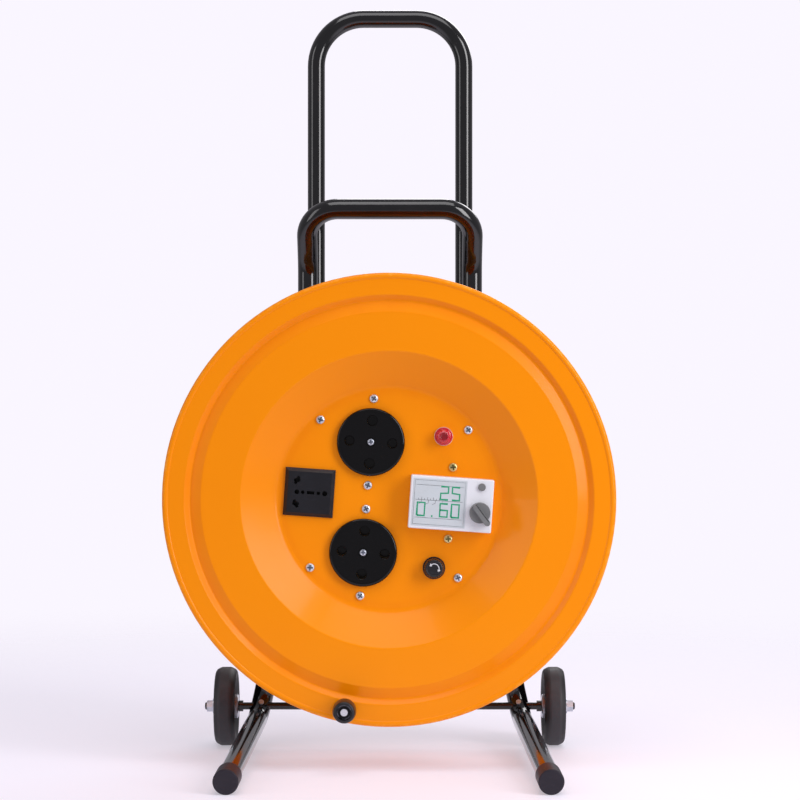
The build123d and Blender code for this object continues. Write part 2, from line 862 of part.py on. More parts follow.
with BuildPart() as leg_plugs:
    for x in (-half, half):
        with BuildSketch(Plane(origin=spot(x, guide_depth, pull_leg_bottom))):
            Circle(guide_bore - 2 * running_gap)
        extrude(amount=-leg_plug_length)
        with BuildSketch(Plane(origin=spot(x, guide_depth, pull_leg_bottom))):
            Circle(pull_tube_radius - tube_wall - fit_gap)
        extrude(amount=spigot_length)
finish(leg_plugs, "leg_plugs")

# ================= wheels =================
wheel_x = wheel_spacing / 2
hub_half = wheel_hub_width / 2
collar_x = wheel_x - hub_half - wheel_side_play - collar_width
washer_x = wheel_x + hub_half + wheel_side_play

with BuildPart() as wheel_axle:
    with BuildSketch(side_plane(-wheel_axle_length / 2, wheel_axle_depth, wheel_radius)):
        Circle(wheel_axle_radius)
    extrude(amount=wheel_axle_length)
    chamfer(wheel_axle.edges().filter_by(GeomType.CIRCLE), rod_chamfer)
finish(wheel_axle, "wheel_axle")


def axle_rings(start_x, width, outer, hexagon=False):
    """A ring or nut on each side of the trolley, on the wheel axle."""
    with BuildPart() as rings:
        for sign in (-1, 1):
            plane = side_plane(sign * start_x, wheel_axle_depth, wheel_radius)
            with BuildSketch(plane):
                if hexagon:
                    RegularPolygon(outer, 6)
                else:
                    Circle(outer)
                Circle(wheel_axle_radius + fit_gap, mode=Mode.SUBTRACT)
            extrude(amount=sign * width)
    return rings.part


finish_group([axle_rings(collar_x, collar_width, collar_radius)], "axle_collars")
wheel_washers = axle_rings(washer_x, axle_washer, axle_washer_radius)
wheel_nuts = axle_rings(washer_x + axle_washer, axle_nut_width, axle_nut_radius, True)
finish_group([wheel_washers, wheel_nuts], "wheel_nuts")

for side, sign in (("left", -1), ("right", 1)):
    wheel_axis = Axis(spot(0, wheel_axle_depth, wheel_radius), (1, 0, 0))
    wheel_section = Plane(
        origin=spot(sign * wheel_x, wheel_axle_depth, wheel_radius), x_dir=(1, 0, 0), z_dir=(0, -1, 0)
    )
    with BuildPart() as tyre:
        with BuildSketch(wheel_section):
            half = wheel_width / 2
            side_points = [
                (half - tyre_inner_inset, wheel_hub_radius + fit_gap),
                (half - tyre_inner_inset, wheel_hub_radius + tyre_ring_reach),
                (half - tyre_web_inset, wheel_hub_radius + tyre_web_reach),
                (half - tyre_web_inset, wheel_radius - tyre_rim_inner),
                (half, wheel_radius - tyre_side_inner),
                (half, wheel_radius - tyre_side_outer),
                (half - tyre_web_inset, wheel_radius - tyre_crown),
            ]
            with BuildLine():
                right_side = Polyline(*side_points)
                left_side = Polyline(*[(-x, z) for x, z in side_points])
                ThreePointArc(left_side @ 1, (0, wheel_radius), right_side @ 1)
                Line(left_side @ 0, right_side @ 0)
            make_face()
        revolve(axis=wheel_axis)
    finish(tyre, f"tyre_{side}")

    with BuildPart() as hub:
        with BuildSketch(side_plane(sign * wheel_x - hub_half, wheel_axle_depth, wheel_radius)):
            Circle(wheel_hub_radius)
            Circle(wheel_axle_radius + running_gap, mode=Mode.SUBTRACT)
        extrude(amount=wheel_hub_width)
        rims = [e for e in hub.edges().filter_by(GeomType.CIRCLE) if e.radius > wheel_axle_radius * 2]
        chamfer(rims, hub_chamfer)
    finish(hub, f"wheel_hub_{side}")

with BuildPart() as leg_screws:
    for sign in (-1, 1):
        with BuildSketch(lock_screw_plane(sign)):
            Circle(lock_screw_head_radius)
        extrude(amount=-lock_screw_head)
        with BuildSketch(lock_screw_plane(sign)):
            Circle(lock_screw_radius)
        extrude(amount=tube_wall)
finish(leg_screws, "leg_screws")

# ================= crank =================
crank_plane = panel_plane(annulus_depth)
sheet_back_plane = panel_plane(annulus_depth + disc_sheet)
grip_start = crank_washer + end_play
stud_end = grip_start + crank_grip_length - crank_recess + end_play

with BuildPart() as crank_stud:
    with BuildSketch(crank_plane):
        with Locations(crank_point):
            Circle(crank_washer_radius)
    extrude(amount=crank_washer)
    with BuildSketch(panel_plane(annulus_depth + disc_sheet + crank_nut_height + crank_stud_tail)):
        with Locations(crank_point):
            Circle(crank_stud_radius)
    extrude(amount=disc_sheet + crank_nut_height + crank_stud_tail + stud_end)
    with BuildSketch(crank_plane.offset(stud_end)):
        with Locations(crank_point):
            Circle(crank_washer_radius)
    extrude(amount=crank_washer)
    with BuildSketch(crank_plane.offset(stud_end + crank_washer)):
        with Locations(crank_point):
            Circle(crank_screw_radius)
    extrude(amount=crank_screw_head)
finish(crank_stud, "crank_stud")

with BuildPart() as crank_nut:
    with BuildSketch(sheet_back_plane):
        with Locations(crank_point):
            RegularPolygon(crank_washer_radius, 6)
            Circle(crank_stud_radius + fit_gap, mode=Mode.SUBTRACT)
    extrude(amount=-crank_nut_height)

with BuildPart() as crank_grip:
    grip_centre = crank_plane.from_local_coords(Vector(*crank_point, 0))
    grip_section = Plane(origin=grip_centre, x_dir=(1, 0, 0), z_dir=(0, 0, 1))
    grip_end = grip_start + crank_grip_length
    with BuildSketch(grip_section):
        bore = crank_stud_radius + running_gap
        mouth = crank_washer_radius + grip_mouth_gap
        foot = (crank_grip_radius - grip_waist_inset, -grip_start - grip_foot_height)
        belly = (crank_grip_radius, -grip_start - crank_grip_length * grip_belly_share)
        neck = (crank_grip_radius - grip_neck_inset, -grip_end + grip_nose_height)
        nose_middle = (crank_grip_radius - grip_nose_middle[0], -grip_end + grip_nose_middle[1])
        nose = (crank_grip_radius - grip_nose_inset, -grip_end)
        with BuildLine():
            Polyline((bore, -grip_start), (crank_grip_radius - grip_foot_inset, -grip_start), foot)
            ThreePointArc(foot, belly, neck)
            ThreePointArc(neck, nose_middle, nose)
            Polyline(
                nose,
                (mouth, -grip_end),
                (mouth, -grip_end + crank_recess),
                (bore, -grip_end + crank_recess),
                (bore, -grip_start),
            )
        make_face()
    revolve(axis=Axis(grip_centre, (0, 1, 0)))
finish(crank_grip, "crank_grip")

# ================= panel screws =================
panel_face = panel_plane(recess_depth)


def pan_screws(plane, points, head_radius, head_height, radius, length):
    """Pan heads standing on a plane, with a cross recess, and their shanks behind it."""
    with BuildPart() as screws:
        with BuildSketch(plane):
            with Locations(*points):
                Circle(head_radius)
        extrude(amount=head_height)
        top = plane.offset(head_height)
        fillet(edges_at(screws, top, head_radius), head_height * recess_share)
        with BuildSketch(top):
            with Locations(*points):
                Rectangle(head_radius * recess_slot_share, head_radius * recess_span_share)
                Rectangle(head_radius * recess_span_share, head_radius * recess_slot_share)
        extrude(amount=-head_height * recess_share, mode=Mode.SUBTRACT)
        with BuildSketch(plane):
            with Locations(*points):
                Circle(radius)
        extrude(amount=-length)
    return screws.part


corner_screws = pan_screws(panel_face, corner_points, screw_head_radius, screw_head,
                           screw_radius, disc_sheet + tab_thickness + screw_tail)
socket_screws = pan_screws(panel_face, socket_screw_points, screw_head_radius, screw_head,
                           screw_radius, disc_sheet + socket_ear_thickness)
breaker_screws = pan_screws(panel_face, breaker_screw_points, screw_head_radius, screw_head,
                            screw_radius, disc_sheet + clip_thickness + screw_tail)
finish_group([breaker_screws], "breaker_screws")

back_face = Plane(origin=spot(0, drum_width - annulus_depth, drum_axis_height),
                  x_dir=-panel_right, z_dir=(0, 1, 0))
back_screws = pan_screws(back_face, back_screw_points, screw_head_radius, screw_head,
                         screw_radius, disc_sheet + tab_thickness + screw_tail)
finish_group([corner_screws, back_screws], "disc_screws")

# ================= round sockets =================


def ring_points(centre, radius, sideways):
    """Two points on a circle about a centre: beside it or above and below it."""
    x, y = centre
    if sideways:
        return [(x - radius, y), (x + radius, y)]
    return [(x, y - radius), (x, y + radius)]


socket_contacts = []

for side, centre in zip(("upper", "lower"), socket_points):
    pins = [
        (ring_points(centre, pin_circle_radius, False), pin_bore_radii[0]),
        (ring_points(centre, pin_circle_radius, True), pin_bore_radii[1]),
    ]

    with BuildPart() as face:
        with BuildSketch(panel_face):
            with Locations(centre):
                Circle(socket_radius)
        extrude(amount=socket_stand)
        face_top = panel_face.offset(socket_stand)
        fillet(edges_at(face, face_top, socket_radius), socket_round)
        with BuildSketch(face_top):
            with Locations(centre):
                Circle(socket_radius - socket_round - socket_rim)
        extrude(amount=-socket_dish, mode=Mode.SUBTRACT)
        with BuildSketch(panel_face):
            with Locations(centre):
                Circle(socket_spigot_radius)
        extrude(amount=-disc_sheet)
        with BuildSketch(face_top.offset(-socket_dish)):
            with Locations(centre):
                Circle(centre_recess_radius)
        extrude(amount=-centre_recess, mode=Mode.SUBTRACT)
        with BuildSketch(face_top):
            with Locations(centre):
                Circle(screw_radius + fit_gap)
        extrude(amount=-(socket_stand + disc_sheet), mode=Mode.SUBTRACT)
        for points, radius in pins:
            with BuildSketch(face_top):
                with Locations(*points):
                    Circle(radius)
            extrude(amount=-(socket_stand + disc_sheet), mode=Mode.SUBTRACT)
        lips = []
        for points, radius in pins:
            lips += edges_at(face, face_top.offset(-socket_dish), radius)
        chamfer(lips, pin_lip)
    finish(face, f"socket_face_{side}")

    with BuildPart() as base:
        base_face = panel_plane(panel_back)
        with BuildSketch(base_face):
            with Locations(centre):
                Circle(socket_base_radius)
        extrude(amount=-socket_base_depth)
        with BuildSketch(base_face):
            with Locations(centre):
                SlotCenterToCenter(socket_screw_spacing, 2 * ear_radius, rotation=90)
        extrude(amount=-socket_ear_thickness)
        with BuildSketch(base_face):
            with Locations(*ring_points(centre, socket_screw_spacing / 2, False)):
                Circle(screw_radius + fit_gap)
        extrude(amount=-socket_ear_thickness, mode=Mode.SUBTRACT)
        with BuildSketch(base_face):
            with Locations(centre):
                Circle(screw_radius + fit_gap)
        extrude(amount=-centre_screw_depth, mode=Mode.SUBTRACT)
        for points, radius in pins:
            with BuildSketch(base_face):
                with Locations(*points):
                    Circle(radius + contact_wall + fit_gap)
            extrude(amount=-contact_length, mode=Mode.SUBTRACT)
    finish(base, f"socket_base_{side}")

    with BuildPart() as contacts:
        for points, radius in pins:
            with BuildSketch(base_face):
                with Locations(*points):
                    Circle(radius + contact_wall)
                    Circle(radius, mode=Mode.SUBTRACT)
            extrude(amount=-contact_length)
    socket_contacts.append(contacts.part)

centre_seat = panel_face.offset(socket_stand - socket_dish - centre_recess)
centre_shank = socket_stand - socket_dish - centre_recess + disc_sheet + centre_screw_depth
centre_screws = pan_screws(centre_seat, socket_points, centre_screw_head_radius,
                           centre_recess - centre_head_inset, screw_radius, centre_shank)
finish_group([socket_screws, centre_screws], "socket_screws")

# ================= universal socket =================
with BuildPart() as universal_socket:
    with BuildSketch(panel_face):
        with Locations(universal_offset):
            Rectangle(*universal_size)
    extrude(amount=universal_stand)
    universal_top = panel_face.offset(universal_stand)
    rim = [e for e in universal_socket.edges() if abs(universal_top.to_local_coords(e.center()).Z) < 1e-4]
    chamfer(rim, universal_stand - universal_base, universal_bevel)
    with BuildSketch(panel_face):
        with Locations(universal_offset):
            Rectangle(*universal_body)
    extrude(amount=-(disc_sheet + universal_depth))
    with BuildSketch(universal_top):
        with Locations(universal_offset):
            for side in (-1, 1):
                with Locations((slot_column, side * slot_row)):
                    Rectangle(*slot_blade, rotation=-side * slot_blade_turn)
                    Rectangle(*slot_bar)
                    Circle(slot_pin_radius)
            for x, radius in round_slots:
                with Locations((x, 0)):
                    Circle(radius)
            with Locations((flat_slot_shift, 0)):
                Rectangle(*flat_slot)
    extrude(amount=-universal_slot_depth, mode=Mode.SUBTRACT)
finish(universal_socket, "universal_socket")

# ================= breaker =================
breaker_x, breaker_y = breaker_offset
breaker_top = panel_face.offset(breaker_stand)
label_centre = (breaker_x + breaker_label_shift, breaker_y)
switch_centre = (breaker_x + switch_offset[0], breaker_y + switch_offset[1])
button_centre = (breaker_x + button_offset[0], breaker_y + button_offset[1])

with BuildPart() as breaker_case:
    with BuildSketch(panel_face):
        with Locations(breaker_offset):
            Rectangle(*breaker_size)
    extrude(amount=breaker_stand)
    case_rim = [
        e for e in breaker_case.edges() if breaker_top.to_local_coords(e.center()).Z > 1e-4 - breaker_stand
    ]
    fillet(case_rim, case_round)
    with BuildSketch(panel_face):
        with Locations(breaker_offset):
            Rectangle(*breaker_body)
    extrude(amount=-(disc_sheet + breaker_depth))
    with BuildSketch(breaker_top):
        with Locations(label_centre):
            Rectangle(*breaker_label_size)
    extrude(amount=-label_thickness / 2, mode=Mode.SUBTRACT)
    with BuildSketch(breaker_top):
        with Locations(switch_centre):
            Circle(spindle_radius + running_gap)
        with Locations(button_centre):
            Circle(button_radius + running_gap * 2)
    extrude(amount=-spindle_depth, mode=Mode.SUBTRACT)
finish(breaker_case, "breaker_case")

with BuildPart() as breaker_label:
    with BuildSketch(breaker_top.offset(-label_thickness / 2)):
        with Locations(label_centre):
            Rectangle(breaker_label_size[0] - 2 * fit_gap, breaker_label_size[1] - 2 * fit_gap)
    extrude(amount=label_thickness)
finish(breaker_label, "breaker_label")

with BuildPart() as breaker_knob:
    knob_base = breaker_top.offset(end_play)
    with BuildSketch(knob_base):
        with Locations(switch_centre):
            Circle(switch_radius)
    extrude(amount=switch_height, taper=switch_taper)
    with BuildSketch(knob_base):
        with Locations(switch_centre):
            with Locations(Location((0, 0, 0), (0, 0, -switch_angle))):
                with Locations((switch_bar_length / 2 - switch_radius + switch_bar_inset, 0)):
                    SlotOverall(switch_bar_length, switch_bar_width)
    extrude(amount=switch_bar_height)
    with BuildSketch(knob_base):
        with Locations(switch_centre):
            Circle(spindle_radius)
    extrude(amount=-(spindle_depth - spindle_end_gap))
finish(breaker_knob, "breaker_knob")

with BuildPart() as test_button:
    with BuildSketch(breaker_top.offset(button_travel + button_stand)):
        with Locations(button_centre):
            Circle(button_radius)
    extrude(amount=-(spindle_depth - spindle_end_gap))
    fillet(edges_at(test_button, breaker_top.offset(button_travel + button_stand)), button_round)
finish(test_button, "test_button")

with BuildPart() as breaker_clips:
    clip_inner = breaker_body[1] / 2 + fit_gap
    clip_outer = breaker_screw_spacing / 2 + clip_width / 2
    for sign in (-1, 1):
        with BuildSketch(panel_plane(panel_back)):
            with Locations((breaker_x, sign * (clip_inner + clip_outer) / 2)):
                Rectangle(clip_width, clip_outer - clip_inner)
            with Locations((breaker_x, sign * breaker_screw_spacing / 2)):
                Circle(screw_radius + fit_gap, mode=Mode.SUBTRACT)
        extrude(amount=-clip_thickness)
finish(breaker_clips, "breaker_clips")

# ================= lamp and fuse =================


def barrel_nut(centre):
    with BuildPart() as nut:
        with BuildSketch(panel_plane(panel_back)):
            with Locations(centre):
                RegularPolygon(fitting_barrel_radius + barrel_nut_reach, 6)
                Circle(fitting_barrel_radius + fit_gap, mode=Mode.SUBTRACT)
        extrude(amount=-barrel_nut_height)
    return nut.part


with BuildPart() as lamp_body:
    with BuildSketch(panel_face):
        with Locations(lamp_offset):
            Circle(lamp_radius)
    extrude(amount=lamp_flange)
    with BuildSketch(panel_face):
        with Locations(lamp_offset):
            Circle(fitting_barrel_radius)
    extrude(amount=-(disc_sheet + barrel_depth))
    with BuildSketch(panel_face.offset(lamp_flange)):
        with Locations(lamp_offset):
            Circle(bulb_radius + fit_gap)
    extrude(amount=-bulb_seat, mode=Mode.SUBTRACT)
finish(lamp_body, "lamp_body")

with BuildPart() as lamp_bulb:
    with BuildSketch(panel_face.offset(lamp_flange - bulb_seat)):
        with Locations(lamp_offset):
            Circle(bulb_radius)
    bulb_top = lens_height - lens_wall - bulb_top_gap
    extrude(amount=bulb_seat + bulb_top)
    fillet(edges_at(lamp_bulb, panel_face.offset(lamp_flange + bulb_top)), bulb_round)
finish(lamp_bulb, "lamp_bulb")

with BuildPart() as lamp_lens:
    lens_face = panel_face.offset(lamp_flange)
    with BuildSketch(lens_face):
        with Locations(lamp_offset):
            RegularPolygon(lamp_radius - lens_inset, 6, major_radius=False)
            Circle(lamp_radius, mode=Mode.INTERSECT)
    extrude(amount=lens_height, taper=lens_taper)
    lens_top = lens_face.offset(lens_height)
    top_edges = [e for e in lamp_lens.edges() if abs(lens_top.to_local_coords(e.center()).Z) < 1e-4]
    fillet(top_edges, lens_round)
    with BuildSketch(lens_face):
        with Locations(lamp_offset):
            Circle(bulb_radius + bulb_side_gap)
    extrude(amount=lens_height - lens_wall, mode=Mode.SUBTRACT)
finish(lamp_lens, "lamp_lens")

with BuildPart() as fuse_body:
    with BuildSketch(panel_face):
        with Locations(fuse_offset):
            Circle(fuse_cap_radius + fuse_flange_reach)
    extrude(amount=fuse_flange)
    with BuildSketch(panel_face):
        with Locations(fuse_offset):
            Circle(fitting_barrel_radius)
    extrude(amount=-(disc_sheet + barrel_depth))
    with BuildSketch(panel_face.offset(fuse_flange)):
        with Locations(fuse_offset):
            Circle(fuse_bore_radius)
    extrude(amount=-(fuse_flange + disc_sheet + barrel_depth - fuse_bottom), mode=Mode.SUBTRACT)
finish(fuse_body, "fuse_body")

with BuildPart() as fuse_cap:
    cap_face = panel_face.offset(fuse_flange + end_play)
    with BuildSketch(cap_face):
        with Locations(fuse_offset):
            Circle(fuse_cap_radius)
            with PolarLocations(fuse_cap_radius + fuse_groove_offset, fuse_ribs):
                Circle(fuse_groove_radius, mode=Mode.SUBTRACT)
    extrude(amount=fuse_cap_height - fuse_crown)
    with BuildSketch(cap_face.offset(fuse_cap_height - fuse_crown)):
        with Locations(fuse_offset):
            Circle(fuse_cap_radius)
    extrude(amount=fuse_crown, taper=fuse_crown_taper)
    with BuildSketch(cap_face):
        with Locations(fuse_offset):
            Circle(fuse_bore_radius - running_gap)
            Circle(fuse_link_radius + fit_gap, mode=Mode.SUBTRACT)
    extrude(amount=-fuse_stem)
finish(fuse_cap, "fuse_cap")

with BuildPart() as fuse_link:
    with BuildSketch(cap_face):
        with Locations(fuse_offset):
            Circle(fuse_link_radius)
    extrude(amount=-fuse_link_length)
finish(fuse_link, "fuse_link")
finish_group([barrel_nut(lamp_offset), barrel_nut(fuse_offset), crank_nut.part], "sheet_nuts")

# ================= terminal block and cable inlet =================
terminal_pitch = (terminal_size[0] / terminal_columns, terminal_size[1] / terminal_rows)

with BuildPart() as terminal_block:
    with BuildSketch(panel_plane(bulkhead_depth)):
        with Locations(terminal_offset):
            Rectangle(*terminal_size)
    extrude(amount=terminal_height)
    terminal_top = panel_plane(bulkhead_depth).offset(terminal_height)
    with BuildSketch(terminal_top):
        with Locations(terminal_offset):
            with GridLocations(*terminal_pitch, terminal_columns, terminal_rows):
                Circle(terminal_screw_radius + fit_gap)
    extrude(amount=-terminal_screw_depth, mode=Mode.SUBTRACT)
finish(terminal_block, "terminal_block")

with BuildPart() as terminal_screws:
    with BuildSketch(terminal_top.offset(-terminal_screw_depth)):
        with Locations(terminal_offset):
            with GridLocations(*terminal_pitch, terminal_columns, terminal_rows):
                Circle(terminal_screw_radius)
    extrude(amount=terminal_screw_depth - terminal_screw_inset)
finish_group([*socket_contacts, terminal_screws.part], "brass_contacts")

inlet_length = 2 * inlet_flange + core_wall + inlet_inner_tail

with BuildPart() as cable_gland:
    outside = side_plane(core_radius + inlet_flange, inlet_depth, drum_axis_height)
    with BuildSketch(outside):
        Circle(inlet_flange_radius)
    extrude(amount=-inlet_length)
    wall_plane = panel_plane(inlet_depth - 2 * inlet_flange_radius)
    with BuildSketch(wall_plane):
        Circle(core_radius + fit_gap)
        Circle(core_radius - core_wall - fit_gap, mode=Mode.SUBTRACT)
    extrude(amount=-4 * inlet_flange_radius, mode=Mode.SUBTRACT)
    with BuildSketch(outside):
        Circle(inlet_neck_radius)
    extrude(amount=-inlet_length)
    with BuildSketch(outside):
        Circle(inlet_radius)
    extrude(amount=-inlet_length, mode=Mode.SUBTRACT)
finish(cable_gland, "cable_gland")
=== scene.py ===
import math
import bmesh
import bpy
from mathutils import Matrix, Vector


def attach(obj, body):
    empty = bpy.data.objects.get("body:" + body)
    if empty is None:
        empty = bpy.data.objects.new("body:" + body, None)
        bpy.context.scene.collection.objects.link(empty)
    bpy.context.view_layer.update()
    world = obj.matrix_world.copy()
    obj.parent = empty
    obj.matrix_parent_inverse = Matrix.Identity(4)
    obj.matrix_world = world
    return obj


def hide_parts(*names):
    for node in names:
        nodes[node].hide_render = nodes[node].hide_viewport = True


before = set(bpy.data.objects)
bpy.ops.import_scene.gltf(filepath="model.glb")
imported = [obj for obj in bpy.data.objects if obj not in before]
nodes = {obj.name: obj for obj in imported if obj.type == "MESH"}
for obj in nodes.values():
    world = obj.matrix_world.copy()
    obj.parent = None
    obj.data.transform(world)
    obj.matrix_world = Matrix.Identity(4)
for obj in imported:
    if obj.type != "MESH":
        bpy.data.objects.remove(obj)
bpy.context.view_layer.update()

mm = 0.001
print("frame loaded:", len(nodes), "nodes")

# places shared by the drum's pieces, in millimetres and degrees
drum = {"centre": (0.0, 276.0), "panelFace": -38.0, "backFace": 85.0, "panelTurn": 4.0}


def onPanel(u, v, y):
    # a point given along the fittings panel, which sits a few degrees round from upright
    turn = math.radians(drum["panelTurn"])
    return (
        (u * math.cos(turn) + v * math.sin(turn)) * mm,
        y * mm,
        (drum["centre"][1] - u * math.sin(turn) + v * math.cos(turn)) * mm,
    )


class Wire:
    # one value on its way through a tree: sums written in Python become Math nodes
    def __init__(self, net, socket):
        self.net, self.socket = net, socket

    def __add__(self, other):
        return self.net.maths("ADD", self, other)

    def __radd__(self, other):
        return self.net.maths("ADD", other, self)

    def __sub__(self, other):
        return self.net.maths("SUBTRACT", self, other)

    def __rsub__(self, other):
        return self.net.maths("SUBTRACT", other, self)

    def __mul__(self, other):
        return self.net.maths("MULTIPLY", self, other)

    def __rmul__(self, other):
        return self.net.maths("MULTIPLY", other, self)

    def __truediv__(self, other):
        return self.net.maths("DIVIDE", self, other)

    def __rtruediv__(self, other):
        return self.net.maths("DIVIDE", other, self)

    def __pow__(self, other):
        return self.net.maths("POWER", self, other)

    def __rpow__(self, other):
        return self.net.maths("POWER", other, self)


class Net:
    # a tree of shader or geometry nodes that is being built
    def __init__(self, tree):
        self.tree = tree

    def add(self, kind, settings=None, sockets=None, out=0):
        # settings go in first, then the values and links of the node's sockets
        node = self.tree.nodes.new(kind)
        for key, value in (settings or {}).items():
            setattr(node, key, value)
        for key, value in (sockets or {}).items():
            for one in value if isinstance(value, list) else [value]:
                if isinstance(one, Wire):
                    self.tree.links.new(one.socket, node.inputs[key])
                else:
                    node.inputs[key].default_value = one
        return Wire(self, node.outputs[out]) if node.outputs else None

    def maths(self, how, a, b=0.0):
        return self.add("ShaderNodeMath", {"operation": how}, {0: a, 1: b})

    def split(self, vector):
        # the three numbers of a vector
        first = self.add("ShaderNodeSeparateXYZ", {}, {0: vector})
        return [Wire(self, socket) for socket in first.socket.node.outputs]

    def join(self, x=0.0, y=0.0, z=0.0):
        return self.add("ShaderNodeCombineXYZ", {}, {0: x, 1: y, 2: z})

    def step(self, value, low, high):
        # 0 below low, 1 above high, smooth between
        return self.add("ShaderNodeMapRange", {"interpolation_type": "SMOOTHSTEP"},
                        {"Value": value, "From Min": low, "From Max": high})

    def band(self, value, low, high, soft):
        # 1 between low and high, with soft edges
        return self.step(value, low - soft, low + soft) * (1 - self.step(value, high - soft, high + soft))

    def noise(self, at, scale, detail=2.0, rough=0.5):
        return self.add("ShaderNodeTexNoise", {"noise_dimensions": "3D"},
                        {"Vector": at, "Scale": scale, "Detail": detail, "Roughness": rough})

    def blend(self, share, first, second):
        # sockets 6 and 7 are the Mix node's two colours, and output 2 the mixed one
        return self.add("ShaderNodeMix", {"data_type": "RGBA"}, {0: share, 6: first, 7: second}, 2)


def linear(*picked):
    # a colour given 0 to 255, as the light values that the shaders use
    lights = []
    for one in picked:
        share = one / 255
        lights.append(share / 12.92 if one <= 10 else ((share + 0.055) / 1.055) ** 2.4)
    return (*lights, 1.0)


socketNames = {"colour": "Base Color", "roughness": "Roughness", "metal": "Metallic", "coat": "Coat Weight",
               "coatRoughness": "Coat Roughness", "ior": "IOR", "clear": "Transmission Weight",
               "normal": "Normal", "specular": "Specular IOR Level", "alpha": "Alpha",
               "inner": "Subsurface Weight", "innerReach": "Subsurface Scale", "glow": "Emission Color",
               "glowStrength": "Emission Strength"}


class Finish(Net):
    # one material: the shader stands ready, and rules fill it in
    def __init__(self, name):
        self.material = bpy.data.materials.new(name)
        self.material.use_nodes = True
        super().__init__(self.material.node_tree)
        self.shader = self.tree.nodes["Principled BSDF"]
        self.at = self.add("ShaderNodeTexCoord", out="Object")
        self.x, self.y, self.z = self.split(self.at)

    def put(self, **values):
        for key, value in values.items():
            socket = self.shader.inputs[socketNames[key]]
            if isinstance(value, Wire):
                self.tree.links.new(value.socket, socket)
            else:
                socket.default_value = value

    def stretched(self, x, y, z):
        # the place, scaled by each axis: a large number makes a pattern fine that way
        return self.add("ShaderNodeMapping", {"vector_type": "POINT"},
                        {"Vector": self.at, "Scale": (x, y, z)})

    def fromAxis(self, a, b, centreA, centreB):
        # distance from a line along the third axis
        return ((a - centreA) * (a - centreA) + (b - centreB) * (b - centreB)) ** 0.5

    def relief(self, height, strength, depth):
        bump = self.add("ShaderNodeBump", {}, {"Height": height, "Strength": strength, "Distance": depth})
        self.put(normal=bump)


# In the finishes, places are in metres, a noise is given by its scale, detail and roughness, and an
# "edges" pair says between which values of its noise a mark comes up.

def discPaint():
    # orange gloss paint on pressed sheet, with painted shade in the groove and at the foot of the dished
    # centre, and a painted highlight in patches on the rim, where the paint is also rubbed rougher
    look = {"fresh": linear(250, 146, 0), "deep": linear(241, 130, 0), "pale": linear(255, 176, 60),
            "valley": (0.1900, 0.2080, 0.002), "foot": (0.1060, 0.1180, 0.003), "rim": (0.2262, 0.2282),
            "clouds": (9.0, 3.0), "peel": (620.0, 2.0, 0.4), "foldShadeNoise": 60.0,
            "rubs": (140.0, 4.0, 0.6), "rubEdges": (0.45, 0.7),
            "scratchStretch": (60.0, 60.0, 900.0), "scratches": (1.0, 3.0, 0.6), "scratchEdges": (0.70, 0.76),
            "roughness": 0.26, "coat": 0.09, "coatRoughness": 0.1, "specular": 0.14}
    m = Finish("discPaint")
    radius = m.fromAxis(m.x, m.z, drum["centre"][0] * mm, drum["centre"][1] * mm)
    clouds = m.noise(m.at, *look["clouds"])
    peel = m.noise(m.at, *look["peel"])
    # painted shade: darker in the groove and at the foot of the dished centre, broken up by noise
    foldShade = m.band(radius, *look["valley"]) * 0.5 + m.band(radius, *look["foot"]) * 0.4
    # painted highlight: paler in patches on the rim, patches that also stand for rubbed wear and are rougher
    rimSheenAndWear = m.step(radius, *look["rim"]) * m.step(m.noise(m.at, *look["rubs"]), *look["rubEdges"])
    scratch = m.noise(m.stretched(*look["scratchStretch"]), *look["scratches"])
    scratch = m.step(scratch, *look["scratchEdges"]) * 0.25
    colour = m.blend(clouds * 0.35 + foldShade * m.noise(m.at, look["foldShadeNoise"]), look["fresh"], look["deep"])
    colour = m.blend(rimSheenAndWear * 0.55 + scratch * 0.2, colour, look["pale"])
    m.put(colour=colour, roughness=look["roughness"] + clouds * 0.06 + rimSheenAndWear * 0.2 + scratch * 0.3,
          coat=look["coat"], coatRoughness=look["coatRoughness"], ior=1.5, specular=look["specular"])
    m.relief(peel + clouds * 0.5, 0.05, 0.0006)
    return m.material


def tubePaint():
    # gloss black on bent tube: orange peel, fine dust, chips that show grey primer near the ground
    look = {"black": linear(6, 6, 8), "dust": linear(50, 47, 54), "chip": linear(120, 118, 116),
            "peel": (480.0, 2.0, 0.45), "dustSpots": (34.0, 5.0, 0.6), "dustEdges": (0.50, 0.85),
            "chipSpots": (330.0, 3.0, 0.55), "chipEdges": (0.69, 0.73), "nearGround": (0.03, 0.16),
            "roughness": 0.11, "coat": 0.5, "coatRoughness": 0.05, "specular": 0.45}
    m = Finish("tubePaint")
    peel = m.noise(m.at, *look["peel"])
    dust = m.step(m.noise(m.at, *look["dustSpots"]), *look["dustEdges"])
    low = 1 - m.step(m.z, *look["nearGround"])
    chips = m.step(m.noise(m.at, *look["chipSpots"]), *look["chipEdges"]) * (0.10 + low * 0.8)
    colour = m.blend(dust * 0.10, look["black"], look["dust"])
    m.put(colour=m.blend(chips, colour, look["chip"]),
          roughness=look["roughness"] + dust * 0.10 + chips * 0.35, coat=look["coat"],
          coatRoughness=look["coatRoughness"], specular=look["specular"])
    m.relief(peel - chips * 0.8, 0.10, 0.0005)
    return m.material


# each shade colour is painted shadow for the cross recess of the screws
platings = {
    "zinc": {"name": "zincPlate", "bright": linear(226, 230, 238), "dull": linear(150, 160, 178),
             "shade": linear(58, 74, 104), "grain": (500.0, 90.0, 700.0)},
    "yellow_zinc": {"name": "yellowZincPlate", "bright": linear(232, 214, 150), "dull": linear(150, 140, 78),
                    "shade": linear(66, 62, 30), "grain": (500.0, 90.0, 700.0)},
    "brass": {"name": "bareBrass", "bright": linear(214, 180, 104), "dull": linear(150, 112, 54),
              "shade": linear(80, 58, 24), "grain": (300.0, 300.0, 300.0)},
}


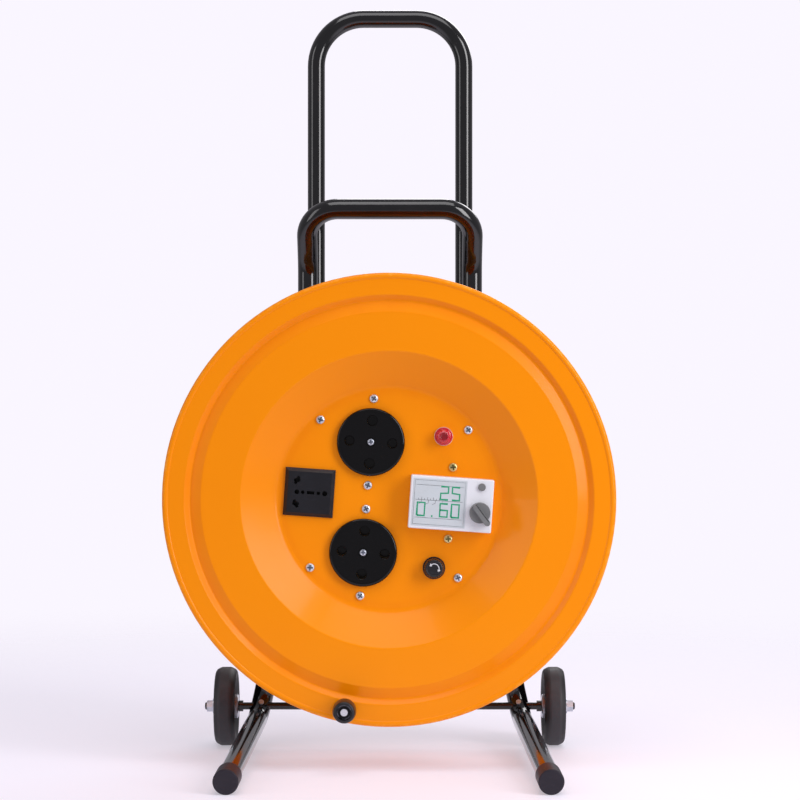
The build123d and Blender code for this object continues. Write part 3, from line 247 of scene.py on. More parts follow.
def plated(name, bright, dull, shade, grain):
    # plated steel or bare brass: turned grain, spots and stains; shade is painted shadow laid into a screw's
    # cross recess
    look = {"stains": (95.0, 4.0, 0.6), "stainEdges": (0.42, 0.72), "lines": (1.0, 3.0, 0.7),
            "metal": 0.82, "roughness": 0.24}
    m = Finish(name)
    stains = m.step(m.noise(m.at, *look["stains"]), *look["stainEdges"])
    lines = m.noise(m.stretched(*grain), *look["lines"])
    kind = {"attribute_type": "GEOMETRY", "attribute_name": "recess"}
    recess = m.add("ShaderNodeAttribute", kind, {}, "Fac")
    face = m.blend(stains * 0.6 + lines * 0.2, bright, dull)
    # painted shade: the faces marked as recess are blended toward the shade colour
    m.put(colour=m.blend(recess * 0.75, face, shade), metal=look["metal"],
          roughness=look["roughness"] + stains * 0.14 + lines * 0.12)
    m.relief(lines + stains * 0.4, 0.12, 0.0003)
    return m.material


mouldings = {
    "rubber": {"name": "capRubber", "tone": linear(30, 26, 36), "worn": linear(66, 60, 70),
               "roughness": 0.42, "grain": 900.0, "depth": 0.14},
    "black_plastic": {"name": "gripPlastic", "tone": linear(20, 20, 24), "worn": linear(52, 52, 60),
                      "roughness": 0.30, "grain": 1100.0, "depth": 0.10, "coat": 0.2},
    "nylon": {"name": "bushNylon", "tone": linear(214, 212, 200), "worn": linear(182, 178, 160),
              "roughness": 0.38, "grain": 700.0, "depth": 0.08},
    "bakelite": {"name": "socketBakelite", "tone": linear(4, 4, 5), "worn": linear(14, 13, 16),
                 "roughness": 0.08, "grain": 500.0, "depth": 0.05, "coat": 0.05, "mark": 0.35},
    "charcoal_plastic": {"name": "universalPlastic", "tone": linear(19, 19, 23), "worn": linear(38, 40, 50),
                         "roughness": 0.34, "grain": 1300.0, "depth": 0.10, "coat": 0.1},
    "white_plastic": {"name": "casePlastic", "tone": linear(232, 234, 240), "worn": linear(208, 208, 206),
                      "roughness": 0.30, "grain": 1000.0, "depth": 0.06, "coat": 0.25, "mark": 0.3},
    "grey_plastic": {"name": "knobPlastic", "tone": linear(112, 113, 113), "worn": linear(142, 144, 146),
                     "roughness": 0.36, "grain": 1000.0, "depth": 0.10, "coat": 0.15},
    "pale_plastic": {"name": "barrelPlastic", "tone": linear(226, 216, 196), "worn": linear(196, 180, 156),
                     "roughness": 0.34, "grain": 900.0, "depth": 0.08},
}


def moulded(name, tone, worn, roughness, grain, depth, coat=0.0, mark=0.5):
    # a moulded plastic or rubber: fine grain, faint flow clouds, rubbed patches
    look = {"clouds": (42.0, 4.0, 0.55), "rubStretch": (90.0, 90.0, 260.0), "rubs": (1.0, 4.0, 0.6),
            "rubEdges": (0.52, 0.80), "coatRoughness": 0.1, "specular": 0.3}
    m = Finish(name)
    clouds = m.noise(m.at, *look["clouds"])
    fine = m.noise(m.at, grain, 3.0, 0.6)
    rubs = m.step(m.noise(m.stretched(*look["rubStretch"]), *look["rubs"]), *look["rubEdges"])
    m.put(colour=m.blend(rubs * mark * 0.5 + clouds * 0.25, tone, worn),
          roughness=roughness + clouds * 0.08 + rubs * 0.12, coat=coat,
          coatRoughness=look["coatRoughness"], specular=look["specular"])
    m.relief(fine + clouds * 0.3, depth, 0.0005)
    return m.material


def tyreRubber():
    # dark tread with a dusty flat band where it meets the floor
    look = {"black": linear(24, 23, 27), "dust": linear(74, 71, 76), "axle": (0.116, 0.0425),
            "tread": (0.0408, 0.0424), "dustSpots": (120.0, 5.0, 0.65), "dustEdges": (0.40, 0.78),
            "grain": (1300.0, 2.0), "roughness": 0.52}
    m = Finish("tyreRubber")
    radius = m.fromAxis(m.y, m.z, *look["axle"])
    tread = m.step(radius, *look["tread"])
    dust = m.step(m.noise(m.at, *look["dustSpots"]), *look["dustEdges"])
    m.put(colour=m.blend(tread * 0.35 + dust * 0.22, look["black"], look["dust"]),
          roughness=look["roughness"] + dust * 0.2)
    m.relief(m.noise(m.at, *look["grain"]), 0.22, 0.0004)
    return m.material


def labelPlate():
    # printed plate: pale blue-grey, satin, with a faint halftone and yellowing
    look = {"plate": linear(206, 214, 220), "worn": linear(188, 194, 196), "clouds": (70.0, 3.0),
            "dots": (2400.0, 1.0), "roughness": 0.34, "coat": 0.3}
    m = Finish("labelPlate")
    clouds = m.noise(m.at, *look["clouds"])
    dots = m.noise(m.at, *look["dots"])
    m.put(colour=m.blend(clouds * 0.5 + dots * 0.2, look["plate"], look["worn"]),
          roughness=look["roughness"] + clouds * 0.1, coat=look["coat"])
    m.relief(dots, 0.03, 0.0002)
    return m.material


def redLens():
    # clear red moulding over a dark well: the middle is painted darker as painted shade of the well, and the
    # rim, which catches light, keeps the plain red
    look = {"rim": linear(228, 24, 52), "shadedMiddle": linear(150, 4, 22), "at": (0.05558, 0.33978),
            "wellEdges": (0.0022, 0.0060), "streakStretch": (300.0, 120.0, 300.0), "streaks": (1.0, 3.0),
            "roughness": 0.08, "coat": 0.6, "clear": 0.25, "ior": 1.49, "inner": 0.2, "innerReach": 0.002}
    m = Finish("redLens")
    radius = m.fromAxis(m.x, m.z, *look["at"])
    # painted shade: the middle of the lens is darker
    shadedMiddle = 1 - m.step(radius, *look["wellEdges"])
    streaks = m.noise(m.stretched(*look["streakStretch"]), *look["streaks"])
    m.put(colour=m.blend(shadedMiddle * 0.9 + streaks * 0.1, look["rim"], look["shadedMiddle"]),
          roughness=look["roughness"] + streaks * 0.06, coat=look["coat"], clear=look["clear"],
          ior=look["ior"], inner=look["inner"], innerReach=look["innerReach"])
    m.relief(streaks, 0.05, 0.0004)
    return m.material


def clearGlass():
    # the bulb and the fuse link: faintly grey, with drawn streaks
    look = {"clean": linear(225, 226, 220), "grey": linear(190, 190, 180), "streaks": (240.0, 2.0),
            "roughness": 0.04, "clear": 0.85, "ior": 1.46}
    m = Finish("clearGlass")
    streaks = m.noise(m.at, *look["streaks"])
    m.put(colour=m.blend(streaks * 0.3, look["clean"], look["grey"]),
          roughness=look["roughness"] + streaks * 0.05, clear=look["clear"], ior=look["ior"])
    m.relief(streaks, 0.04, 0.0003)
    return m.material


def printInk(name, tone, worn):
    # ink that has broken up a little
    look = {"breaks": (900.0, 3.0, 0.6), "breakEdges": (0.45, 0.75), "roughness": 0.45}
    m = Finish(name)
    breaks = m.step(m.noise(m.at, *look["breaks"]), *look["breakEdges"])
    m.put(colour=m.blend(breaks * 0.4, tone, worn), roughness=look["roughness"] + breaks * 0.15)
    m.relief(breaks, 0.05, 0.0001)
    return m.material


def studSteel():
    # the crank's end: a bright screw, then dark for the washer's blackening and painted shade in the gap
    # round the screw, with a painted highlight in patches at the washer's edge
    look = {"bright": linear(214, 216, 222), "dark": linear(16, 16, 20), "washerGlint": linear(120, 122, 132),
            "at": (-0.0448, 0.0652), "screw": (0.0034, 0.0038), "edge": (0.0058, 0.0068),
            "rubs": (160.0, 3.0), "rubEdges": (0.40, 0.62), "grain": (700.0, 3.0),
            "metal": 0.7, "roughness": 0.24}
    m = Finish("studSteel")
    radius = m.fromAxis(m.x, m.z, *look["at"])
    washer = m.step(radius, *look["screw"])
    # painted highlight in patches at the washer's edge
    washerGlint = m.step(radius, *look["edge"]) * m.step(m.noise(m.at, *look["rubs"]), *look["rubEdges"])
    # dark stands for the washer's own blackening and for painted shade in the gap round the screw
    colour = m.blend(washer, look["bright"], m.blend(washerGlint * 0.8, look["dark"], look["washerGlint"]))
    m.put(colour=colour, metal=look["metal"], roughness=look["roughness"] + washer * 0.10)
    m.relief(m.noise(m.at, *look["grain"]), 0.08, 0.0003)
    return m.material


# finishes by the record's material slots
finishes = {"disc_paint": discPaint(), "frame_paint": tubePaint()}
finishes.update({slot: plated(**look) for slot, look in platings.items()})
finishes.update({slot: moulded(**look) for slot, look in mouldings.items()})
finishes.update({"tyre": tyreRubber(), "label": labelPlate(), "red_lens": redLens(), "glass": clearGlass()})
inks = {"green": printInk("greenInk", linear(28, 150, 108), linear(96, 186, 158)),
        "fine": printInk("fineInk", linear(118, 130, 138), linear(160, 170, 176)),
        "white": printInk("whiteInk", linear(226, 228, 232), linear(170, 172, 178))}
print("finishes ready:", len(finishes) + len(inks))


def paintNodes():
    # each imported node's slot is what its own material was named on import
    paints = {}
    for name, thing in nodes.items():
        old = thing.data.materials[0].name
        paints[name] = next(finish for slot, finish in finishes.items() if old.startswith(slot))
    paints["crank_stud"] = studSteel()
    for name, thing in nodes.items():
        thing.data.materials.clear()
        thing.data.materials.append(paints[name])


paintNodes()
print("nodes painted")

socketKinds = {float: "NodeSocketFloat", int: "NodeSocketInt", tuple: "NodeSocketVector"}


def openTree(name, inputs):
    # a geometry tree with a shape, named sizes and a material coming in
    tree = bpy.data.node_groups.new(name, "GeometryNodeTree")
    tree.interface.new_socket("Geometry", in_out="OUTPUT", socket_type="NodeSocketGeometry")
    tree.interface.new_socket("Shape", in_out="INPUT", socket_type="NodeSocketGeometry")
    for label, value in inputs.items():
        entry = tree.interface.new_socket(label, in_out="INPUT", socket_type=socketKinds[type(value)])
        entry.default_value = value
    tree.interface.new_socket("Material", in_out="INPUT", socket_type="NodeSocketMaterial")
    net = Net(tree)
    source = net.add("NodeGroupInput").socket.node
    return net, {socket.name: Wire(net, socket) for socket in source.outputs if socket.name}


def closeTree(net, wires, shape):
    real = net.add("GeometryNodeRealizeInstances", {}, {0: shape})
    painted = net.add("GeometryNodeSetMaterial", {}, {"Geometry": real, "Material": wires["Material"]})
    net.add("NodeGroupOutput", {}, {0: painted})
    return net.tree


def grow(name, tree, start, material, sizes, place=Matrix.Identity(4), crease=35.0):
    # feeds a few points or a profile line to a tree and keeps the result as a plain mesh
    seed = bpy.data.meshes.new(name)
    seed.from_pydata(*start)
    piece = bpy.data.objects.new(name, seed)
    bpy.context.scene.collection.objects.link(piece)
    modifier = piece.modifiers.new("grow", "NODES")
    modifier.node_group = tree
    values = {**sizes, "Material": material}
    for entry in tree.interface.items_tree:
        if entry.in_out == "INPUT" and entry.name in values:
            modifier[entry.identifier] = values[entry.name]
    piece.update_tag()
    graph = bpy.context.evaluated_depsgraph_get()
    made = bpy.data.meshes.new_from_object(piece.evaluated_get(graph), depsgraph=graph)
    piece.modifiers.clear()
    piece.data = made
    made.name = name
    made.transform(place)
    tidyMesh(made, crease)
    return piece


def tidyMesh(mesh, crease):
    # joins seams and poles, points the faces outwards and keeps edges sharper than the crease angle
    near = 0.005 * mm
    work = bmesh.new()
    work.from_mesh(mesh)
    bmesh.ops.remove_doubles(work, verts=work.verts, dist=near)
    bmesh.ops.dissolve_degenerate(work, edges=work.edges, dist=near)
    bmesh.ops.recalc_face_normals(work, faces=work.faces)
    work.to_mesh(mesh)
    work.free()
    mesh.polygons.foreach_set("use_smooth", [True] * len(mesh.polygons))
    mesh.set_sharp_from_angle(angle=math.radians(crease))


def turnedTree():
    # sweeps a profile line round an axis; ribs run along the axis between two heights
    net, wires = openTree("turnedPiece", {"Segments": 96, "Ribs": 0.0, "RibDepth": 0.0, "RibFrom": 0.0,
                                          "RibTo": 0.0, "RibSharp": 1.0})
    core = 1.0 * mm  # radius of the guide circle, which the profile is moved in by
    line = net.add("GeometryNodeMeshToCurve", {}, {0: wires["Shape"]})
    line = net.add("GeometryNodeTransform", {}, {"Geometry": line, "Translation": (-core, 0.0, 0.0)})
    guide = net.add("GeometryNodeCurvePrimitiveCircle", {"mode": "RADIUS"},
                    {"Resolution": wires["Segments"], "Radius": core})
    skin = net.add("GeometryNodeCurveToMesh", {}, {"Curve": guide, "Profile Curve": line})
    px, py, pz = net.split(net.add("GeometryNodeInputPosition"))
    angle = net.maths("ARCTAN2", py, px)
    wave = net.maths("COSINE", angle * wires["Ribs"]) * 0.5 + 0.5
    height = 0 - pz
    above = net.maths("GREATER_THAN", height, wires["RibFrom"])
    below = net.maths("LESS_THAN", height, wires["RibTo"])
    radius = (px * px + py * py) ** 0.5
    cut = (wave ** wires["RibSharp"]) * (above * below) * wires["RibDepth"] / (radius + 0.001 * mm)
    shift = net.join(0 - px * cut, 0 - py * cut)
    skin = net.add("GeometryNodeSetPosition", {}, {"Geometry": skin, "Offset": shift})
    return closeTree(net, wires, skin)


turned = turnedTree()


def ring(points, closed=True):
    # a profile in millimetres (reach from the axis, place along it) as a line of edges
    spots = [(r * mm, a * mm, 0.0) for r, a in points]
    edges = [(i, i + 1) for i in range(len(spots) - 1)] + ([(len(spots) - 1, 0)] if closed else [])
    return spots, edges, []


def rounded(points, closed=False, steps=4):
    # corners given with a radius as their third number become short arcs
    out = []
    count = len(points)
    for i, corner in enumerate(points):
        reach = corner[2] if len(corner) > 2 else 0.0
        here = Vector(corner[:2])
        if not reach or (not closed and i in (0, count - 1)):
            out.append(tuple(here))
            continue
        before = Vector(points[i - 1][:2]) - here
        after = Vector(points[(i + 1) % count][:2]) - here
        bend = before.angle(after)
        run = reach / math.tan(bend / 2)
        start, end = here + before.normalized() * run, here + after.normalized() * run
        inwards = (before.normalized() + after.normalized()).normalized()
        middle = here + inwards * (reach / math.sin(bend / 2))
        for k in range(steps + 1):
            spot = start.lerp(end, k / steps) - middle
            out.append(tuple(middle + spot.normalized() * reach))
    return out


alongDrum = Matrix.Rotation(math.radians(90), 4, "X")  # profile's second number runs along the drum's axis
alongAxle = Matrix.Rotation(math.radians(-90), 4, "Y")  # and here along the wheels' axle

# the common screw; the sets below name what differs
screwSizes = {"Radius": 4.5 * mm, "Height": 2.6 * mm, "Slot": 1.45 * mm, "Reach": 2.9 * mm,
              "SlotDepth": 1.8 * mm, "Seed": 7}
headForm = {"segments": 40, "rings": 24, "side": 1.7, "crown": 1.3, "fullness": 0.32, "spin": 6.28,
            "baseBlock": (30.0 * mm, 30.0 * mm, 10.0 * mm), "baseDrop": -5.01 * mm, "clear": 1.0 * mm}


def panHeadTree():
    # a pan head with a cross recess, set on each point and turned at random
    s = headForm
    net, wires = openTree("panHeads", {**screwSizes, "Facing": (0.0, 0.0, 0.0)})
    ball = net.add("GeometryNodeMeshUVSphere", {},
                   {"Segments": s["segments"], "Rings": s["rings"], "Radius": 1.0})
    px, py, pz = net.split(net.add("GeometryNodeInputPosition"))
    flat = (px * px + py * py) ** s["side"] + (pz * pz) ** s["crown"]
    fuller = net.join(*(place / (flat ** s["fullness"]) for place in (px, py, pz)))
    head = net.add("GeometryNodeSetPosition", {}, {"Geometry": ball, "Position": fuller})
    scale = net.join(wires["Radius"], wires["Radius"], wires["Height"])
    head = net.add("GeometryNodeTransform", {}, {"Geometry": head, "Scale": scale})
    base = net.add("GeometryNodeMeshCube", {}, {"Size": s["baseBlock"]})
    base = net.add("GeometryNodeTransform", {}, {"Geometry": base, "Translation": (0.0, 0.0, s["baseDrop"])})
    lift = net.join(z=wires["Height"] - wires["SlotDepth"] * 0.5 + s["clear"] / 2)
    size = net.join(wires["Reach"] * 2.0, wires["Slot"], wires["SlotDepth"] + s["clear"])
    bars = []
    for turn in (0.0, math.pi / 2):
        bar = net.add("GeometryNodeMeshCube", {}, {"Size": size})
        bars.append(net.add("GeometryNodeTransform", {},
                            {"Geometry": bar, "Translation": lift, "Rotation": (0.0, 0.0, turn)}))
    cross = net.add("GeometryNodeJoinGeometry", {}, {0: bars})
    # the recess faces are marked so that plated() paints shade into them
    cross = net.add("GeometryNodeStoreNamedAttribute", {"data_type": "FLOAT", "domain": "FACE"},
                    {"Geometry": cross, "Name": "recess", "Value": 1.0})
    head = net.add("GeometryNodeMeshBoolean", {"operation": "DIFFERENCE", "solver": "EXACT"},
                   {0: head, 1: [base, cross], "Self Intersection": True})
    # sockets 2, 3 and 8 are the least, the greatest and the seed of a random number, output 1
    spin = net.add("FunctionNodeRandomValue", {"data_type": "FLOAT"},
                   {2: 0.0, 3: s["spin"], 8: wires["Seed"]}, 1)
    heads = net.add("GeometryNodeInstanceOnPoints", {},
                    {"Points": wires["Shape"], "Instance": head, "Rotation": wires["Facing"]})
    heads = net.add("GeometryNodeRotateInstances", {},
                    {"Instances": heads, "Rotation": net.join(z=spin), "Local Space": True})
    return closeTree(net, wires, heads)


panHeads = panHeadTree()
faceFront = (math.pi / 2, 0.0, 0.0)  # heads look along -Y
faceBack = (-math.pi / 2, 0.0, 0.0)

# where the screws sit, in millimetres along the panel; the crank's end is given by x, y and z
screwPlaces = {"corner": 75.8, "backCorner": 75.0, "socketReach": 44.5, "socketDish": 2.0,
               "breaker": (63.0, 36.7), "crankEnd": (-44.8, -90.75, 65.2)}
socketAt = [(-22.8, 56.6), (-22.8, -56.6)]
cornerSigns = [(u, v) for u in (-1, 1) for v in (-1, 1)]


def screws(name, spots, facing, slot, replaced=None, **sizes):
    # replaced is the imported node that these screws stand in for
    piece = grow(name, panHeads, (spots, [], []), finishes[slot],
                 {**screwSizes, **sizes, "Facing": facing}, crease=28.0)
    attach(piece, "drum")
    if replaced:
        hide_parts(replaced)


def allScrews():
    s = screwPlaces
    front, back = drum["panelFace"], drum["backFace"]
    screws("discScrews", [onPanel(u * s["corner"], v * s["corner"], front) for u, v in cornerSigns],
           faceFront, "zinc", "disc_screws")
    screws("backScrews", [onPanel(u * s["backCorner"], v * s["backCorner"], back) for u, v in cornerSigns],
           faceBack, "zinc", Seed=11)
    beside = [(u, v + side * s["socketReach"]) for u, v in socketAt for side in (1, -1)]
    screws("socketScrews", [onPanel(u, v, front) for u, v in beside], faceFront, "zinc", "socket_screws",
           Seed=3)
    screws("centreScrews", [onPanel(u, v, front - s["socketDish"]) for u, v in socketAt], faceFront, "zinc",
           Radius=3.75 * mm, Height=2.2 * mm, Reach=2.5 * mm, Slot=1.25 * mm, Seed=5)
    across, along = s["breaker"]
    screws("breakerScrews", [onPanel(across, side * along, front) for side in (1, -1)], faceFront,
           "yellow_zinc", "breaker_screws", Seed=9)
    screws("crankScrew", [tuple(place * mm for place in s["crankEnd"])], faceFront, "zinc",
           Radius=3.8 * mm, Reach=2.5 * mm, Slot=1.25 * mm, Seed=2)


allScrews()
print("screws made")

tyreSizes = {"axle": (116.0, 42.5), "outer": 42.5, "half": 11.5, "inner": 13.0, "web": 6.0, "tread": 4.8,
             "ribs": 90.0, "ribDepth": 0.35 * mm, "ribBand": (6.9 * mm, 10.4 * mm), "ribSharp": 3.0,
             "segments": 180, "middles": {"left": -178.5, "right": 178.5}}


def tyres():
    s = tyreSizes
    top, half, web, tread = s["outer"], s["half"], s["web"], s["tread"]
    # one flank: reach from the axle, distance from the wheel's middle, rounding
    flank = [(s["inner"], web), (24.0, web, 2.0), (29.5, half - 2.4, 2.0), (33.0, half - 0.6, 1.2),
             (37.5, half, 2.0), (top - 2.6, half - 1.5, 2.4), (top - 0.45, 6.0, 1.5),
             (top - 0.35, 5.2, 0.3), (top, tread, 0.3)]
    profile = [(reach, -away, *bend) for reach, away, *bend in flank]
    profile += [(reach, away, *bend) for reach, away, *bend in reversed(flank)]
    line = ring(rounded(profile, closed=True))
    for side, middle in s["middles"].items():
        place = Matrix.Translation((middle * mm, s["axle"][0] * mm, s["axle"][1] * mm)) @ alongAxle
        tyre = grow(f"tyre{side.capitalize()}", turned, line, finishes["tyre"],
                    {"Segments": s["segments"], "Ribs": s["ribs"], "RibDepth": s["ribDepth"],
                     "RibFrom": s["ribBand"][0], "RibTo": s["ribBand"][1], "RibSharp": s["ribSharp"]}, place)
        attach(tyre, f"wheel_{side}")
        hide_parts(f"tyre_{side}")


tyres()
print("tyres made")


def drumPlace(u, v, y):
    return Matrix.Translation(onPanel(u, v, y)) @ alongDrum


lampSizes = {"u": 51.0, "v": 67.5, "seat": -39.8, "reach": 9.2, "tip": -50.8, "segments": 96, "ribs": 12.0,
             "ribDepth": 0.5 * mm, "ribSharp": 2.0}


def lampLens():
    # a flange, then a ribbed barrel that narrows to a dished tip
    s = lampSizes
    reach, depth = s["reach"], s["tip"] - s["seat"]
    profile = [(0.0, 0.0), (reach, 0.0, 0.3), (reach, -1.4, 0.4), (7.4, -1.8, 0.3), (6.6, depth + 1.6, 1.3),
               (4.2, depth, 0.6), (3.4, depth + 0.9, 0.4), (0.0, depth + 1.1)]
    lens = grow("lampLens", turned, ring(rounded(profile), closed=False), finishes["red_lens"],
                {"Segments": s["segments"], "Ribs": s["ribs"], "RibDepth": s["ribDepth"],
                 "RibFrom": (depth + 0.2) * mm, "RibTo": -2.2 * mm, "RibSharp": s["ribSharp"]},
                drumPlace(s["u"], s["v"], s["seat"]))
    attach(lens, "drum")
    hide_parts("lamp_lens")


capSizes = {"u": 50.5, "v": -67.3, "radius": 10.5, "seat": -40.3, "tip": -52.3, "segments": 240, "ribs": 24.0,
            "ribDepth": 0.75 * mm, "ribSharp": 3.0}


def fuseCap():
    # a ribbed cap with a shallow dish in its face
    s = capSizes
    radius, depth = s["radius"], s["tip"] - s["seat"]
    profile = [(0.0, 0.0), (radius - 0.9, 0.0, 0.3), (radius - 0.2, -1.2, 0.5), (radius, -1.8, 0.3),
               (radius - 0.5, depth + 3.0, 0.6), (radius - 1.8, depth + 0.7, 1.0), (7.4, depth + 0.2, 0.5),
               (6.9, depth + 0.75, 0.3), (0.0, depth + 0.75)]
    cap = grow("fuseCap", turned, ring(rounded(profile), closed=False), finishes["black_plastic"],
               {"Segments": s["segments"], "Ribs": s["ribs"], "RibDepth": s["ribDepth"],
                "RibFrom": (depth + 1.6) * mm, "RibTo": -1.9 * mm, "RibSharp": s["ribSharp"]},
               drumPlace(s["u"], s["v"], s["seat"]))
    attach(cap, "fuse_cap")
    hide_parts("fuse_cap")


lampLens()
fuseCap()
print("lamp and fuse cap made")


def stripTree():
    # a thin strip laid along each line, for printed marks and moulded lips
    net, wires = openTree("printedStrip", {"Width": 0.4 * mm, "Lift": 0.06 * mm})
    line = net.add("GeometryNodeMeshToCurve", {}, {0: wires["Shape"]})
    bar = net.add("GeometryNodeCurvePrimitiveQuadrilateral", {"mode": "RECTANGLE"},
                  {"Width": wires["Lift"], "Height": wires["Width"]})
    strip = net.add("GeometryNodeCurveToMesh", {}, {"Curve": line, "Profile Curve": bar, "Fill Caps": True})
    return closeTree(net, wires, strip)


strips = stripTree()


def stroke(paths):
    # several open paths of panel points, each (u, v, y) in millimetres, as one line drawing
    spots, edges = [], []
    for path in paths:
        start = len(spots)
        spots += [onPanel(*p) for p in path]
        edges += [(start + i, start + i + 1) for i in range(len(path) - 1)]
    return spots, edges, []


# the plate lies on the breaker; figures are (text, left, bottom) from the plate's centre
plateSizes = {"centre": (50.8, 0.0), "face": -58.2, "inkLift": 0.03, "lineSink": 0.01, "edge": (25.6, 22.4),
              "figures": (("25", 1.0, 3.8), ("0.60", -22.0, -13.6)), "figure": (7.6, 6.6), "figureStep": 11.6,
              "figureInk": {"Width": 2.0 * mm, "Lift": 0.08 * mm},
              "rules": (17.6, 2.4, -15.6), "ruleReach": 24.0,
              "lineInk": {"Width": 0.35 * mm, "Lift": 0.06 * mm},
              "ticks": 8, "tickStep": 3.0, "tickTops": (4.2, 5.4), "sketchLeft": -21.0, "middleRule": 2.4,
              "switches": 4, "switchStep": 7.0, "switchRun": 3.0, "switchFoot": -2.0, "switchTip": -0.4}
# each figure's strokes in a box one wide and two high
digitStrokes = {
    "0": [[(0, 0), (1, 0), (1, 2), (0, 2), (0, 0)]],
    "2": [[(0, 2), (1, 2), (1, 1.05), (0, 0.95), (0, 0), (1, 0)]],
    "5": [[(1, 2), (0, 2), (0, 1.05), (1, 0.95), (1, 0), (0, 0)]],
    "6": [[(1, 2), (0, 2), (0, 0), (1, 0), (1, 1), (0, 1)]],
    ".": [[(0.4, 0), (0.6, 0)]],
}


def printedPlate():
    # a plain rating plate: large green figures over fine ruled lines of a wiring sketch
    s = plateSizes
    cu, cv = s["centre"]
    inkFace = s["face"] - s["inkLift"]
    wide, high = s["figure"]
    figures = []
    for text, left, bottom in s["figures"]:
        for i, mark in enumerate(text):
            corner = cu + left + i * s["figureStep"]
            for path in digitStrokes[mark]:
                figures.append([(corner + px * wide, cv + bottom + py * high, inkFace) for px, py in path])
    green = grow("plateFigures", strips, stroke(figures), inks["green"], s["figureInk"])

    def at(u, v):
        return cu + u, cv + v, inkFace + s["lineSink"]

    left, rule = s["sketchLeft"], s["middleRule"]
    ruled = [[at(-s["ruleReach"], v), at(s["ruleReach"], v)] for v in s["rules"]]
    for i in range(s["ticks"]):
        u = left + i * s["tickStep"]
        ruled.append([at(u, rule), at(u, s["tickTops"][i % 2])])
    for i in range(s["switches"]):
        u = left + i * s["switchStep"]
        bend = u + s["switchRun"]
        ruled.append([at(u, s["switchFoot"]), at(bend, s["switchTip"]), at(bend, rule)])
    halfWide, halfHigh = s["edge"]
    corners = ((-1, -1), (1, -1), (1, 1), (-1, 1), (-1, -1))
    ruled.append([at(u * halfWide, v * halfHigh) for u, v in corners])
    fine = grow("plateLines", strips, stroke(ruled), inks["fine"], s["lineInk"])
    for piece in (green, fine):
        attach(piece, "drum")


# angles in degrees; an end is the arrow head's angle and the way it points
arrowSizes = {"reach": 5.1, "arc": (-20, 146, 8), "ends": ((-20, 1), (140, -1)), "tipTurn": 10,
              "barbTurn": 14, "barbs": (3.9, 6.3), "sink": 0.72,
              "ink": {"Width": 0.75 * mm, "Lift": 0.08 * mm}}


def capArrow():
    # a turn arrow on the cap's face, an arc with a head at each end
    s = arrowSizes

    def at(reach, degrees):
        turn = math.radians(degrees)
        return (capSizes["u"] + reach * math.cos(turn), capSizes["v"] + reach * math.sin(turn),
                capSizes["tip"] + s["sink"])

    paths = [[at(s["reach"], degrees) for degrees in range(*s["arc"])]]
    for end, way in s["ends"]:
        tip = at(s["reach"], end - way * s["tipTurn"])
        paths += [[tip, at(barb, end + way * s["barbTurn"])] for barb in s["barbs"]]
    arrow = grow("capArrow", strips, stroke(paths), inks["white"], s["ink"])
    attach(arrow, "fuse_cap")


pointerSizes = {"centre": (92.6, -7.0), "turn": -50.0, "side": 1.9, "ends": (-9.5, 11.5), "top": -69.25,
                "line": {"Width": 0.7 * mm, "Lift": 0.1 * mm}}


def knobLine():
    # a bright pointer line let into the switch's bar
    s = pointerSizes
    turn = math.radians(s["turn"])
    along, across = (math.cos(turn), math.sin(turn)), (-math.sin(turn), math.cos(turn))
    path = []
    for end in s["ends"]:
        u, v = (s["centre"][i] + along[i] * end + across[i] * s["side"] for i in (0, 1))
        path.append((u, v, s["top"]))
    line = grow("knobLine", strips, stroke([path]), finishes["zinc"], s["line"])
    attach(line, "breaker_switch")


lipSizes = {"circle": 22.0, "radius": 5.75, "face": -43.12, "steps": 28, "pins": 4,
            "lip": {"Width": 0.5 * mm, "Lift": 0.3 * mm}}


def pinLips():
    # the moulded lip round each pin hole
    s = lipSizes
    loops = []
    for u, v in socketAt:
        for pin in range(s["pins"]):
            place = 2 * math.pi / s["pins"] * pin
            cu, cv = u + s["circle"] * math.cos(place), v + s["circle"] * math.sin(place)
            turns = [2 * math.pi * i / s["steps"] for i in range(s["steps"] + 1)]
            loops.append([(cu + s["radius"] * math.cos(turn), cv + s["radius"] * math.sin(turn), s["face"])
                          for turn in turns])
    lips = grow("pinLips", strips, stroke(loops), finishes["bakelite"], s["lip"])
    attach(lips, "drum")


printedPlate()
capArrow()
knobLine()
pinLips()
print("printed marks made")

beadSizes = {"Radius": 1.4 * mm, "Spacing": 0.6 * mm, "Ripple": 0.28, "Pitch": 2.1, "Sides": 8}
# seams in millimetres: crossbars behind the uprights, and a block on each side at two heights
weldSizes = {"uprightX": 90.0, "strapSide": 6.6, "strapY": 115.6, "strapHeights": (387.0, 413.0),
             "blockX": 85.9, "blockSide": 9.2, "blockY": 137.2, "blockFeet": (300.0, 478.0),
             "blockTall": 16.0, "inset": 1.0}


def beadTree():
    # a round bead whose thickness ripples along its line
    net, wires = openTree("weldBead", beadSizes)
    line = net.add("GeometryNodeMeshToCurve", {}, {0: wires["Shape"]})
    line = net.add("GeometryNodeResampleCurve", {"mode": "LENGTH"},
                   {"Curve": line, "Length": wires["Spacing"]})
    count = net.add("GeometryNodeInputIndex")
    swell = 1.0 + net.maths("SINE", count * wires["Pitch"]) * wires["Ripple"]
    bar = net.add("GeometryNodeCurvePrimitiveCircle", {"mode": "RADIUS"},
                  {"Resolution": wires["Sides"], "Radius": wires["Radius"]})
    bead = net.add("GeometryNodeCurveToMesh", {},
                   {"Curve": line, "Profile Curve": bar, "Scale": swell, "Fill Caps": True})
    return closeTree(net, wires, bead)


